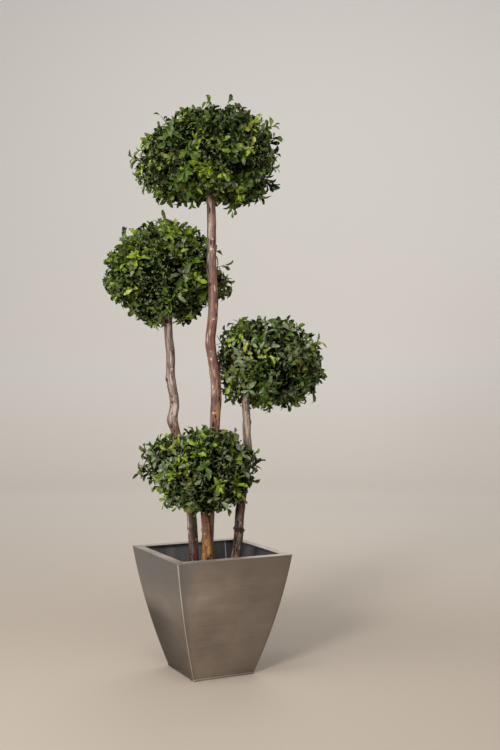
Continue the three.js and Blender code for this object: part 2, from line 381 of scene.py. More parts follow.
planter = {
    "height": 386,
    "mouthSide": 391,
    "footSide": 206,
    "sideBow": 18.8,
    "cornerRadius": 5,
    "cornerSteps": 6,
    "cornerWearAndLight": 1.5,  # how fast the scuffing and the painted corner light fade from the middle of a corner
    "sideSupports": (1.5, 4, 9, 18, 36, 70, 120),  # points along a side, from each corner
    "wallStep": 10,
    "sheet": 1.2,
    "sheetFoot": 1.5,
    "wall": 4,
    "floor": 6,
    "floorBend": 2,
    "skinGap": 0.15,  # between the zinc and the painted inside
    "insideFoot": 1.7,
    "lipThickness": 3,
    "lipWidth": 30,
    "lipEdge": 0.9,
    "lipWear": 0.7,
    "seatGap": 0.3,
    "hem": [  # height and how far it stands out, from the flat underside up to the wall
        (0, -1.6), (0.5, -0.2), (1.4, 0.8), (2.6, 1.35), (3.8, 1.25), (4.9, 0.7), (5.7, -0.1), (6.3, -0.7),
        (7.1, -0.8), (8.0, -0.3), (9.0, 0),
    ],
    "lipJoint": 0.47,  # where the left lip's two lengths butt, as a share of the side
    "seam": 0.86,  # where the back wall's two sheets meet inside, as a share of the side
    "seamWidth": 1.6,
    # a painted highlight along the seam
    "seamHighlight": tone(226, 228, 230),
    "bandReach": 9,
    "leftEdge": 3.5,  # how near the left side a point is counted as on it
    "paint": tone(84, 83, 82),
    "paintClouds": (tone(80, 80, 80), tone(98, 96, 93)),
    "dust": tone(126, 124, 120),
}

wallZinc = {
    # The dark tone is the patina's darker one, and is also laid on as painted shade.
    "dark": tone(125, 116, 107),
    "light": tone(182, 171, 160),
    # The bright corner tone stands for scuffed zinc and a painted highlight.
    "wornAndHighlit": tone(224, 215, 204),
    "shaded": tone(96, 86, 78),
    # The bluish grey tone is a painted reflection on the left side.
    "coolReflection": tone(134, 133, 133),
    # The low tone is painted shade, laid low on the left side.
    "low": tone(76, 68, 61),
    "roughness": 0.4,
    "grain": ((4, 4, 300), (2.5, 2.5, 48)),  # how fine the lines and the bands are, along each axis
    "paintedShading": [  # painted shade and reflection, each a colour and where it lies: from, to, least and most, on an axis in metres or an attribute
        ("dark", {"Z": (0.17, 0.02), "X": (-0.06, 0.08, 0.0, 0.75)}),  # painted shade at the foot, to the right
        ("dark", {"Z": (0.24, 0.36), "X": (-0.19, 0.12, 0.1, 0.5)}),  # painted shade under the lip
        ("dark", {"X": (-0.05, 0.17, 0.0, 0.62)}),  # painted shade over the right half
        # painted shade low on the left side, more towards the back
        ("low", {"Y": (-0.17, 0.09, 0.34, 1.0), "Z": (0.235, 0.18), "leftSide": (0.0, 1.0)}),
        ("dark", {"paintedCornerShade": (0.1, 0.9, 0.0, 0.6)}),  # painted shade beside the corners
        ("coolReflection", {"X": (-0.12, -0.18), "Z": (0.1, 0.35)}),  # a painted bluish reflection on the left side's upper part
        ("shaded", {"cornerWearAndLight": (0.35, 0.9), "X": (0.0, 0.05)}),  # painted shade on the right corners
    ],
    "rubbedAndHighlit": {"X": (0.05, 0.0, 0.1, 1.0)},  # the left corners, scuffed bright and also a painted highlight
}

lipZinc = {
    "dark": tone(138, 130, 121),
    "light": tone(168, 159, 149),
    # The bright edge tone stands for scuffed zinc and a painted highlight on the rolled edges.
    "wornAndHighlit": tone(210, 202, 192),
    "roughness": 0.52,
    "grainAlongX": ((4, 300, 4), (3, 70, 3)),
    "grainAlongY": ((300, 4, 4), (70, 3, 3)),
    "paintedShading": [],
    "rubbedAndHighlit": {},
}


def outerSide(height):
    share = np.asarray(height, float) / planter["height"]
    bow = 4 * planter["sideBow"] * share * (1 - share)
    return planter["footSide"] + (planter["mouthSide"] - planter["footSide"]) * share + bow


def squareRing():
    # The rounded square at the mouth, how much scuffing and painted light its corners take, and how near each
    # point is to one
    half, radius = planter["mouthSide"] / 2, planter["cornerRadius"]
    flat = 2 * (half - radius)
    along = [*planter["sideSupports"], *(flat - s for s in reversed(planter["sideSupports"]))]
    points, wearAndLight, near = [], [], []
    for quarter in range(4):
        corner = []
        for step in range(planter["cornerSteps"] + 1):
            share = step / planter["cornerSteps"]
            angle = (share - 1) * math.pi / 2
            x, y = half - radius + radius * math.cos(angle), -half + radius + radius * math.sin(angle)
            corner.append((x, y))
            wearAndLight.append(1 - abs(2 * share - 1) ** planter["cornerWearAndLight"])
            near.append(1.0)
        for s in along:
            corner.append((half, -half + radius + s))
            wearAndLight.append(0.0)
            # how near the corner, for the painted shade beside it
            near.append(math.exp(-min(s, flat - s) / planter["bandReach"]))
        cos, sin = round(math.cos(quarter * math.pi / 2)), round(math.sin(quarter * math.pi / 2))
        points += [(x * cos - y * sin, x * sin + y * cos) for x, y in corner]
    return np.array(points), np.array(wearAndLight), np.array(near)


def planterSkin(name, path, finish):
    # A closed skin through rounded squares; path gives each one's height and how far it stands out
    ring, wearAndLight, near = squareRing()
    rings = []
    for height, out in path:
        scale = (outerSide(height) + 2 * out) / planter["mouthSide"]
        rings.append(np.column_stack([ring * scale, np.full(len(ring), height)]) * mm)
    points, faces = loft(rings)
    mesh = newMesh(name, points, faces)
    setAttribute(mesh, "cornerWearAndLight", "FLOAT", np.tile(wearAndLight, len(rings)))
    setAttribute(mesh, "paintedCornerShade", "FLOAT", np.tile(near, len(rings)))
    leftSide = ring[:, 0] < planter["leftEdge"] - planter["mouthSide"] / 2
    setAttribute(mesh, "leftSide", "FLOAT", np.tile(leftSide, len(rings)))
    settle(name, mesh, finish, ["planter_body"], sharpAngle=50)


def zincFinish(name, zinc, grain):
    # Brushed zinc: fine lines along the sheet in broad bands, an uneven patina, the painted shade and
    # reflection its table lists, and corners scuffed bright, partly a painted highlight
    material, tree, shader = newMaterial(name, zinc["light"], zinc["roughness"], metallic=0.9)
    lines, bands = (objectNoise(tree, stretch, detail=5.0, roughness=0.75) for stretch in grain)
    patina = objectNoise(tree, (5, 5, 7), detail=4.0, roughness=0.55)
    mixed = cover(tree, zinc["dark"], zinc["light"], patina, 0.32, 0.68)
    mixed = cover(tree, mixed, zinc["dark"], bands, 0.35, 0.65, 0.0, 0.28)
    mixed = cover(tree, mixed, zinc["light"], lines, 0.35, 0.65, 0.0, 0.3)
    for shade, spans in zinc["paintedShading"]:
        mixed = blendColours(tree, shareAlong(tree, spans), mixed, zinc[shade])
    wearAndLight = spread(tree, attributeValue(tree, "cornerWearAndLight"), 0.35, 0.9)
    rubbedAndHighlit = multiply(tree, wearAndLight, spread(tree, patina, 0.25, 0.6, 0.25, 1.0))
    mixed = blendColours(tree, shareAlong(tree, zinc["rubbedAndHighlit"], rubbedAndHighlit), mixed, zinc["wornAndHighlit"])
    tree.links.new(mixed, shader.inputs["Base Color"])
    smooth, rough = zinc["roughness"] - 0.06, zinc["roughness"] + 0.08
    tree.links.new(spread(tree, lines, 0.3, 0.7, smooth, rough), shader.inputs["Roughness"])
    shader.inputs["Anisotropic"].default_value = 0.35
    roughen(tree, shader, lines, 0.12, 0.0004)
    return material


def insideFinish():
    # Satin charcoal paint inside, a little dusty, with a painted highlight along one upright seam in the back
    # wall
    material, tree, shader = newMaterial("insidePaint", planter["paint"], 0.45, metallic=0.2)
    cloud = objectNoise(tree, (9, 9, 5), detail=5.0)
    streak = objectNoise(tree, (30, 30, 3), detail=3.0)
    mixed = cover(tree, *planter["paintClouds"], cloud, 0.35, 0.7)
    mixed = cover(tree, mixed, planter["dust"], streak, 0.45, 0.75, 0.0, 0.6)
    seamAt = (planter["seam"] - 0.5) * planter["mouthSide"] * mm
    away = combine(tree, "ABSOLUTE", combine(tree, "ADD", placeOn(tree, "X"), -seamAt))
    line = spread(tree, away, planter["seamWidth"] * mm, planter["seamWidth"] * mm * 0.3)
    seam = multiply(tree, line, spread(tree, placeOn(tree, "Y"), 0.1, 0.11))
    mixed = blendColours(tree, seam, mixed, planter["seamHighlight"])
    tree.links.new(mixed, shader.inputs["Base Color"])
    tree.links.new(spread(tree, cloud, 0.3, 0.75, 0.36, 0.5), shader.inputs["Roughness"])
    roughen(tree, shader, streak, 0.15, 0.0006)
    return material


def lipLengthPoints(start, end):
    # Corners of a length of the lip along the front side, between two shares of it; 0 and 1 are mitred
    half, width = planter["mouthSide"] / 2, planter["lipWidth"]
    gap = planter["seatGap"] / math.sqrt(2)
    first, last = -half + start * 2 * half, -half + end * 2 * half
    leftMitre = width if start == 0 else 0
    rightMitre = width if end == 1 else 0
    return [
        (first + gap, -half), (last - gap, -half),
        (last - rightMitre - gap, -half + width), (first + leftMitre + gap, -half + width),
    ]


def lipPiece(side, turn, spans, finish):
    # The folded lip on one side, as one length or two that butt, with softly rolled edges
    shape = bmesh.new()
    low, high = planter["height"] - planter["lipThickness"], planter["height"]
    for start, end in spans:
        corners = lipLengthPoints(start, end)
        bottom = [shape.verts.new((x * mm, y * mm, low * mm)) for x, y in corners]
        top = [shape.verts.new((x * mm, y * mm, high * mm)) for x, y in corners]
        shape.faces.new(list(reversed(bottom)))
        shape.faces.new(top)
        for i in range(4):
            j = (i + 1) % 4
            shape.faces.new((bottom[i], bottom[j], top[j], top[i]))
    bmesh.ops.bevel(
        shape, geom=shape.edges[:], offset=planter["lipEdge"] * mm, segments=3, profile=0.5, affect="EDGES",
        clamp_overlap=True,
    )
    shape.transform(Matrix.Rotation(turn, 4, "Z"))
    mesh = meshOf(f"lip_{side}", shape)
    height = np.array([v.co.z for v in mesh.vertices])
    edge = planter["lipEdge"] * 1.05
    rim = np.clip((height / mm - high + edge) / edge, 0, 1)
    flat = np.array([abs(v.normal.z) > 0.995 for v in mesh.vertices])
    setAttribute(mesh, "cornerWearAndLight", "FLOAT", np.where(flat, 0.0, planter["lipWear"] * rim))
    settle(f"planter_lip_{side}_fold", mesh, finish, [f"planter_lip_{side}"], sharpAngle=35)


def buildPlanter():
    wallTop = planter["height"] - planter["lipThickness"] - planter["seatGap"]
    sheet, wall, floor, gap = (planter[key] for key in ("sheet", "wall", "floor", "skinGap"))
    firstWall = planter["hem"][-1][0]
    levels = np.linspace(firstWall, wallTop, round((wallTop - firstWall) / planter["wallStep"]) + 1)
    outer = [*planter["hem"], *((z, 0) for z in levels[1:])]
    inner = [(z, -sheet) for z in [*reversed(levels), planter["sheetFoot"]]]
    walls = zincFinish("brushedZinc", wallZinc, wallZinc["grain"])
    planterSkin("planter_shell", [*outer, *inner], walls)
    outer = [(z, -sheet - gap) for z in [planter["insideFoot"], *levels[:-1], wallTop - gap]]
    inner = [(z, -wall) for z in [*reversed(levels[1:]), floor + planter["floorBend"], floor]]
    planterSkin("planter_inside", [*outer, *inner], insideFinish())
    alongX = zincFinish("rubbedLipAlongX", lipZinc, lipZinc["grainAlongX"])
    alongY = zincFinish("rubbedLipAlongY", lipZinc, lipZinc["grainAlongY"])
    joint = planter["lipJoint"]
    for index, side in enumerate(["front", "right", "back", "left"]):
        spans = [(0, joint), (joint, 1)] if side == "left" else [(0, 1)]
        lipPiece(side, index * math.pi / 2, spans, alongY if index % 2 else alongX)


buildPlanter()
print("planter ready")


# Potting mix: a lumpy bark-based mix well below the lip, with loose chips on it

pottingMix = {
    "top": 285,
    "clearance": 0.3,
    "levels": 8,
    "rings": 26,
    "innerRing": 0.03,  # share of the mouth
    "shoulder": 4,
    "lumpHeight": 4.5,
    "lumpLimit": 2.5,  # the lumps end at the top
    "lumpSize": 32,
    "lumpShift": 3.7,
    "lumpFade": 9,
    "tones": (tone(30, 24, 20), tone(66, 52, 42)),
    "fineness": 160,
    "chips": 5200,  # for each square metre
    "chipForms": ((0.55, 0.2), (0.35, 0.26), (0.7, 0.14)),  # width and thickness
    "chipSizes": (0.35, 1.0),
    "chipLength": 17,
    "chipSink": 1.5,
    "chipTones": (tone(44, 33, 26), tone(98, 72, 52)),
    "chipFineness": 240,
    "chipSeed": 4,
    "seed": 7,
}


def mixFinish(name, dark, light, fineness):
    material, tree, shader = newMaterial(name, dark, 0.95)
    grain = objectNoise(tree, (fineness, fineness, fineness), detail=5.0, roughness=0.7)
    cloud = objectNoise(tree, (30, 30, 30), detail=3.0)
    mixed = cover(tree, dark, light, grain, 0.35, 0.7)
    mixed = cover(tree, mixed, dark, cloud, 0.35, 0.7, 0.0, 0.6)
    tree.links.new(mixed, shader.inputs["Base Color"])
    tree.links.new(spread(tree, grain, 0.3, 0.7, 0.98, 0.8), shader.inputs["Roughness"])
    roughen(tree, shader, grain, 0.6, 0.0015)
    return material


def mixBlock():
    # The block of mix in the planter, flat below and lumpy on top
    ring, _, _ = squareRing()
    top, limit = pottingMix["top"], pottingMix["lumpLimit"]
    inset = planter["wall"] + pottingMix["clearance"]
    bottom = planter["floor"] + pottingMix["clearance"]
    rings = []
    for height in np.linspace(bottom, top - pottingMix["shoulder"], pottingMix["levels"]):
        scale = (outerSide(height) - 2 * inset) / planter["mouthSide"]
        rings.append(np.column_stack([ring * scale, np.full(len(ring), height)]))
    topScale = (outerSide(top) - 2 * inset) / planter["mouthSide"]
    for share in np.linspace(1, pottingMix["innerRing"], pottingMix["rings"]):
        flat = ring * topScale * share
        fade = min(1, (1 - share) * pottingMix["lumpFade"])
        spots = np.column_stack([flat, np.full(len(flat), pottingMix["lumpShift"])])
        lumps = pottingMix["lumpHeight"] * fractal(spots / pottingMix["lumpSize"], 0.8, 2.1, 4) * fade
        rings.append(np.column_stack([flat, top - limit + np.minimum(limit, lumps)]))
    return loft([r * mm for r in rings])


def chipShapes(collection):
    # Three flakes of bark, each a block bent and broken at random from a fixed seed
    draw = np.random.default_rng(pottingMix["chipSeed"])
    for index, (width, thickness) in enumerate(pottingMix["chipForms"]):
        shape = bmesh.new()
        bmesh.ops.create_cube(shape, size=1.0)
        bmesh.ops.bevel(shape, geom=shape.edges[:], offset=0.16, segments=1, affect="EDGES")
        for v in shape.verts:
            v.co += Vector(draw.uniform(-0.09, 0.09, 3))
            v.co = Vector((v.co.x, v.co.y * width, v.co.z * thickness)) * pottingMix["chipLength"] * mm
        collection.objects.link(bpy.data.objects.new(f"chip{index}", meshOf(f"chip{index}", shape)))


def chipTree():
    tree, entry, out = newTree("scatteredChips", [
        ("Density", "NodeSocketFloat", 4000.0), ("Smallest", "NodeSocketFloat", 0.4),
        ("Largest", "NodeSocketFloat", 1.0), ("Seed", "NodeSocketInt", 0),
        ("Shapes", "NodeSocketCollection", None), ("Finish", "NodeSocketMaterial", None),
    ])
    points = addNode(tree, "GeometryNodeDistributePointsOnFaces", {
        "Mesh": entry.outputs["Geometry"], "Density": entry.outputs["Density"], "Seed": entry.outputs["Seed"],
    })
    shapes = addNode(tree, "GeometryNodeCollectionInfo", {
        "Collection": entry.outputs["Shapes"], "Separate Children": True, "Reset Children": True,
    })
    tumble = addNode(tree, "FunctionNodeRandomValue", {
        "Min": (-0.5, -0.5, 0.0), "Max": (0.5, 0.5, 2 * math.pi), "Seed": entry.outputs["Seed"],
    }, data_type="FLOAT_VECTOR")
    turn = addNode(tree, "FunctionNodeEulerToRotation", {"Euler": tumble.outputs["Value"]})
    size = addNode(tree, "FunctionNodeRandomValue", data_type="FLOAT")
    tree.links.new(entry.outputs["Smallest"], size.inputs[2])
    tree.links.new(entry.outputs["Largest"], size.inputs[3])
    instances = addNode(tree, "GeometryNodeInstanceOnPoints", {
        "Points": points.outputs["Points"], "Instance": shapes.outputs["Instances"], "Pick Instance": True,
        "Rotation": turn.outputs["Rotation"], "Scale": size.outputs[1],
    })
    real = addNode(tree, "GeometryNodeRealizeInstances", {"Geometry": instances.outputs["Instances"]})
    coloured = addNode(tree, "GeometryNodeSetMaterial", {
        "Geometry": real.outputs["Geometry"], "Material": entry.outputs["Finish"],
    })
    tree.links.new(coloured.outputs["Geometry"], out.inputs["Geometry"])
    return tree


def buildPottingMix():
    finish = mixFinish("pottingMixDark", *pottingMix["tones"], pottingMix["fineness"])
    bed = newMesh("pottingMixBed", *mixBlock())
    settle("potting_mix_bed", bed, finish, ["potting_mix"], 60)
    shapes = bpy.data.collections.new("chipShapes")
    chipShapes(shapes)
    reach = (outerSide(pottingMix["top"]) / 2 - planter["wall"] - pottingMix["chipLength"] * 0.75) * mm
    height = (pottingMix["top"] - pottingMix["chipSink"]) * mm
    sheet = newMesh("chipGround", [
        (-reach, -reach, height), (reach, -reach, height), (reach, reach, height), (-reach, reach, height),
    ], [(0, 1, 2, 3)])
    flakes = mixFinish("barkChips", *pottingMix["chipTones"], pottingMix["chipFineness"])
    chips = grow("pottingMixChips", sheet, chipTree(), {
        "Density": float(pottingMix["chips"]), "Smallest": pottingMix["chipSizes"][0],
        "Largest": pottingMix["chipSizes"][1], "Seed": pottingMix["seed"], "Shapes": shapes, "Finish": flakes,
    })
    settle("potting_mix_chips", chips, None, ["potting_mix"], 30)
    for item in list(shapes.objects):
        bpy.data.objects.remove(item)


buildPottingMix()
print("potting mix ready")


# Stems: natural wood with lobed sections, knots, cracks and peeled patches, and pale marks of painted sheen.
# A route's points are side, depth and height. A bump has a height, a bearing (0 to the right, -1.57 to the
# front), a size and a reach. A seen mark is read in the photograph: its column, its row, how tall it
# is and how wide, in pixels. A set mark has a height, a bearing, how tall it is, and how wide in radians.

stems = {
    "stem_tall": {
        "route": [
            (-7, 0, 285.3), (-6, 0, 420), (0, -3, 560), (10, -9, 700), (16, -17, 810), (19, -28, 915),
            (12, -34, 978), (1, -41, 1055), (8, -48, 1130), (11, -53, 1190), (6, -54, 1280), (6, -50, 1385),
            (4, -40, 1480), (0, -31, 1560),
        ],
        "foot": 17, "tip": 14.2, "flare": 0.08, "phase": 0.4,
        "bumps": [
            (860, 0.2, 2.5, 16), (1290, 3.4, 2, 14), (1432, -0.5, 1.6, 7), (1125, -0.6, 1.5, 6),
            (955, -2.6, 1.4, 5),
        ],
        "ridges": 0.7, "ridgeCount": 3.0, "ridgeLength": 90, "roughness": 0.5,
        "high": tone(105, 77, 64), "low": tone(118, 76, 63), "turnHeight": (1040, 1330), "lowStreaks": 0.9,
        "streak": tone(160, 133, 122), "deep": tone(60, 34, 27), "wood": tone(206, 166, 132),
        "callus": tone(132, 82, 60), "peel": tone(184, 136, 78), "paintedSheen": tone(176, 154, 148),
        "hollow": tone(36, 23, 17),
        "seenMarks": {
            "wood": [
                (213.5, 239.8, 1.2, 4.5), (212, 249.7, 1.6, 5), (214, 252.5, 2.5, 1.2),
                (214.6, 288, 5, 2.6), (213.2, 319.6, 2, 2.6), (208.2, 358, 0.9, 0.9),
                (211, 359.5, 0.8, 2.4), (213.2, 386.4, 1, 1), (214, 392, 4, 0.6),
                (213.8, 412.5, 2.2, 3.4),
            ],
            "peel": [
                (215, 222, 7, 2.6), (214.3, 263, 6, 1.1), (216, 306, 4, 2), (211.2, 351.5, 1.4, 1),
                (211, 373, 4, 1.6), (218.8, 406.7, 6.6, 2.6), (217.8, 414.6, 10.3, 6.5),
                (218.5, 421.3, 7.2, 3.2),
            ],
            "dark": [
                (207.5, 207, 5, 3), (215.5, 227.5, 1.6, 1.5), (214.6, 241.5, 5.5, 1.6),
                (211, 243, 5, 1.1), (207.8, 267, 6, 2.2), (216.6, 315.5, 3.6, 1.1), (219.5, 386, 7, 0.9),
                (219.3, 399, 3, 1.2), (216, 416.6, 3.4, 2.6), (213, 425, 4, 3),
            ],
            "callus": [(211, 325, 5.5, 2), (214.5, 333, 4, 1.6), (217.8, 382, 10, 1.3)],
        },
        "setMarks": {
            "wood": [(1080, 1.2, 9, 0.3), (1440, 1.2, 5, 0.4)],
            "peel": [
                (640, 1.7, 40, 0.5), (880, 1.5, 9, 0.3), (1240, 1.9, 20, 0.3), (1262, -0.35, 20, 0.3),
            ],
            "dark": [
                (430, -1.5, 20, 0.2), (655, 1.9, 8, 0.25), (760, 2.6, 12, 0.2), (1140, -0.3, 14, 0.14),
                (1180, -0.35, 16, 0.12), (1190, 1.4, 9, 0.2), (1238, -2.0, 8, 0.09),
                (1330, -0.45, 12, 0.1), (1452, -0.35, 26, 0.12), (1475, -1.9, 12, 0.2),
            ],
            "callus": [
                (940, 2.2, 25, 0.4), (1205, -1.9, 20, 0.14), (1262, -0.9, 24, 0.25), (1400, 2.3, 20, 0.4),
                (1400, -1.1, 16, 0.12),
            ],
            # pale marks: painted sheen
            "paintedSheen": [
                (898, -2.3, 16, 0.12), (958, -1.6, 9, 0.07), (1068, -2.25, 17, 0.14),
                (1085, -1.75, 9, 0.08), (1322, -2.4, 14, 0.2), (1413, -2.15, 38, 0.2),
            ],
        },
    },
    "stem_left": {
        "route": [
            (-51, 30, 285.3), (-56, 30, 385), (-64, 34, 505), (-82, 40, 625), (-108, 48, 735),
            (-125, 54, 808), (-120, 57, 852), (-127, 60, 905), (-134, 63, 950), (-134, 67, 1020),
            (-141, 72, 1085), (-143, 78, 1195),
        ],
        "foot": 16, "tip": 14, "flare": 0.06, "phase": 1.9,
        "bumps": [
            (452, 3.9, 3, 8), (800, 3.1, 4.5, 15), (934, 3.3, 3.5, 7), (912, -2.9, 1.6, 4),
            (363, -1.5, 2.5, 8), (418, -0.5, 1.5, 5), (1035, -0.9, 1.3, 3.5), (969, -0.6, 1.5, 5),
        ],
        "ridges": 0.7, "ridgeCount": 3.5, "ridgeLength": 70, "roughness": 0.6,
        "high": tone(128, 109, 97), "low": tone(68, 51, 43), "turnHeight": (500, 800), "lowStreaks": 0.55,
        "streak": tone(170, 153, 142), "deep": tone(72, 42, 34), "wood": tone(200, 164, 130),
        "callus": tone(102, 65, 53), "peel": tone(196, 140, 76), "paintedSheen": tone(194, 178, 170),
        "hollow": tone(62, 38, 29),
        "seenMarks": {
            "wood": [(171.8, 368.8, 0.7, 2.5), (175.4, 395.5, 1, 1.5), (169.2, 424, 0.8, 1)],
            "peel": [
                (172.4, 349, 1.3, 1.2), (176.8, 420, 1.8, 1.6), (179.6, 434, 2, 1),
                (196, 538.5, 1.9, 2.3),
            ],
            "dark": [
                (167, 322, 3.5, 3.6), (173.8, 368.5, 4, 1.4), (167.5, 379.3, 2.7, 2),
                (166.2, 380.8, 1, 1.2), (167.7, 384.5, 2.7, 2.3), (168.7, 389.5, 2.7, 2.3),
                (172, 396.5, 2.1, 1.8), (174.4, 401.5, 1.5, 1.2), (178.6, 402, 3, 0.8),
                (172, 402.8, 3.4, 2.7), (171.3, 407, 1.8, 1.8), (172.6, 413.5, 1.2, 1),
                (172.5, 427, 2, 2.6), (175, 431, 2, 1.5), (188.9, 527.7, 1.3, 1.2), (197, 537, 1.6, 0.8),
                (191.8, 553.2, 1.2, 1), (194.3, 554.8, 1.7, 1.4), (194.5, 558.6, 1.2, 1.2),
            ],
            "callus": [
                (166, 345, 3.5, 1), (166.7, 356.3, 1.4, 1.3), (167.3, 364, 3.5, 1.2),
                (166.5, 376, 3, 1.8), (177.5, 394, 4.5, 1.3), (178.3, 406, 6, 1.3),
                (176.7, 415.5, 4, 1.2), (170.4, 425.2, 5.8, 4.5), (175, 431.4, 11.9, 8.2),
                (190.3, 514, 2, 1), (189.2, 528.3, 3.7, 3.1), (194, 555.5, 6.4, 5.8),
            ],
        },
        "setMarks": {
            "wood": [(560, 1.8, 12, 0.4)],
            "peel": [(860, 1.9, 7, 0.25)],
            "dark": [
                (940, 1.2, 4, 0.2), (985, -0.4, 10, 0.08), (1060, -2.75, 12, 0.08), (1090, 1.9, 8, 0.25),
            ],
            "callus": [
                (420, 2.2, 16, 0.4), (700, 1.4, 26, 0.5), (900, -2.95, 16, 0.14), (955, -0.45, 18, 0.12),
                (1010, 1.6, 20, 0.5), (1020, -2.7, 20, 0.1),
            ],
            # pale marks: painted sheen
            "paintedSheen": [
                (470, -2.3, 34, 0.14), (838, -1.2, 16, 0.3), (940, -1.5, 22, 0.2), (1000, -1.4, 20, 0.16),
            ],
        },
    },
    "stem_right": {
        "route": [
            (74, 0, 285.3), (81, 0, 360), (90, 0, 425), (95, 3, 505), (108, 9, 600), (121, 15, 700),
            (117, 18, 755), (116, 20, 810), (113, 24, 862), (122, 29, 930),
        ],
        "foot": 14.6, "tip": 12.2, "flare": 0.1, "phase": 3.3,
        "bumps": [
            (449, -0.1, 6, 3.2), (456, 3.3, 4.5, 3.2), (452, -1.4, 1.5, 10), (797, 0, 3, 5),
            (340, 3.4, 3.5, 20), (433, -1.2, 1.5, 3.5), (520, -1.2, 1.5, 12),
        ],
        "ridges": 1.1, "ridgeCount": 5.0, "ridgeLength": 46, "roughness": 0.72,
        "high": tone(154, 133, 117), "low": tone(73, 53, 39), "turnHeight": (560, 720), "lowStreaks": 0.3,
        "streak": tone(176, 160, 148), "deep": tone(36, 27, 22), "wood": tone(208, 168, 134),
        "callus": tone(114, 80, 58), "peel": tone(158, 112, 70), "paintedSheen": tone(190, 172, 160),
        "hollow": tone(34, 21, 15),
        "seenMarks": {
            "wood": [
                (246.4, 413.6, 1.2, 1.6), (248.7, 415.8, 1, 2.3), (246.5, 432.8, 1.2, 1.6),
                (247.2, 435, 3, 1), (240.7, 522.2, 0.7, 0.7), (239.8, 547, 5, 0.5),
            ],
            "peel": [
                (240.8, 516, 3.1, 2), (239.8, 535, 1.3, 3.3), (232.7, 553.2, 7.1, 2.1),
                (235.9, 555.7, 4, 2.7),
            ],
            "dark": [
                (243.2, 408, 6, 0.7), (249.6, 412, 7, 0.9), (250.3, 422, 1.6, 0.8), (237, 513, 7.1, 2.6),
                (237.4, 523, 5.9, 3), (239.5, 529.5, 4.6, 7.8), (235.1, 540, 7.1, 2.6),
                (234.2, 546.5, 3, 1.6), (237, 549.5, 3, 0.6), (234.3, 551.1, 4.6, 0.8),
            ],
            "callus": [(242.8, 404.5, 1.6, 1), (241.2, 509, 7.1, 3.1), (236.3, 552, 3.5, 1.6)],
        },
        "setMarks": {
            "wood": [(560, 2.0, 6, 0.2)],
            "peel": [(350, -2.3, 18, 0.4), (760, 1.4, 5, 0.3)],
            "dark": [(470, 1.7, 22, 0.5), (815, -0.4, 20, 0.12)],
            "callus": [(640, 1.5, 20, 0.4)],
            # pale marks: painted sheen
            "paintedSheen": [(770, -1.2, 12, 0.12), (800, -1.7, 28, 0.2)],
        },
    },
    "stem_front": {
        "route": [(-8, -42, 285.3), (-7, -42, 392), (-10, -41, 462), (-17, -38, 522), (-27, -31, 590)],
        "foot": 18.6, "tip": 12.8, "flare": 0.08, "phase": 5.1,
        "bumps": [
            (424, 3.3, 3, 9), (455, 3.2, 2, 5), (436, 3.5, -1.5, 4), (404, -0.1, 1.4, 4), (330, 3.3, 1.5, 12),
            (385, 3.2, -1.2, 10), (480, -0.2, 1.3, 14), (350, 3.2, 1.8, 34), (352, 0.0, 3.2, 38),
        ],
        "ridges": 1.1, "ridgeCount": 4.0, "ridgeLength": 60, "roughness": 0.72,
        "high": tone(98, 65, 42), "low": tone(110, 72, 38), "turnHeight": (400, 505), "lowStreaks": 0.4,
        "streak": tone(180, 128, 74), "deep": tone(74, 45, 25), "wood": tone(190, 154, 112),
        "callus": tone(92, 58, 34), "peel": tone(172, 119, 60), "paintedSheen": tone(188, 156, 118),
        "hollow": tone(40, 24, 14),
        "seenMarks": {
            "wood": [
                (204.4, 533.6, 1, 1), (211.8, 536.3, 1.6, 0.9), (213.3, 545.7, 0.7, 0.7),
                (209.8, 546.4, 0.9, 0.8), (203.6, 553.5, 1.6, 1),
            ],
            "peel": [(210.7, 523.5, 2, 1.4), (203.6, 540.5, 2.8, 3), (206, 542, 5, 5), (209, 551, 5, 4.5)],
            "dark": [
                (203.4, 512.5, 0.9, 0.8), (209, 519, 8.5, 0.8), (206.6, 521.8, 0.8, 1.6),
                (210.2, 525.5, 8.5, 0.9), (202.2, 528, 1.3, 0.6), (202.2, 537.5, 1.6, 0.7),
                (213.2, 537.5, 2.4, 0.6), (210.5, 554.5, 3.5, 0.7), (207.4, 557, 1.2, 0.8),
                (209.4, 558.2, 2.2, 1.9),
            ],
            "callus": [(209.5, 514, 9.7, 4.5), (206.8, 517, 5, 2), (208.5, 531, 2, 4)],
        },
        "setMarks": {
            "peel": [(372, -2.35, 26, 0.36), (402, -2.6, 12, 0.26), (420, 1.6, 30, 0.5)],
            "dark": [(340, 1.5, 9, 0.3), (445, -0.6, 12, 0.07)],
            "callus": [(480, 1.8, 14, 0.5)],
        },
    },
}

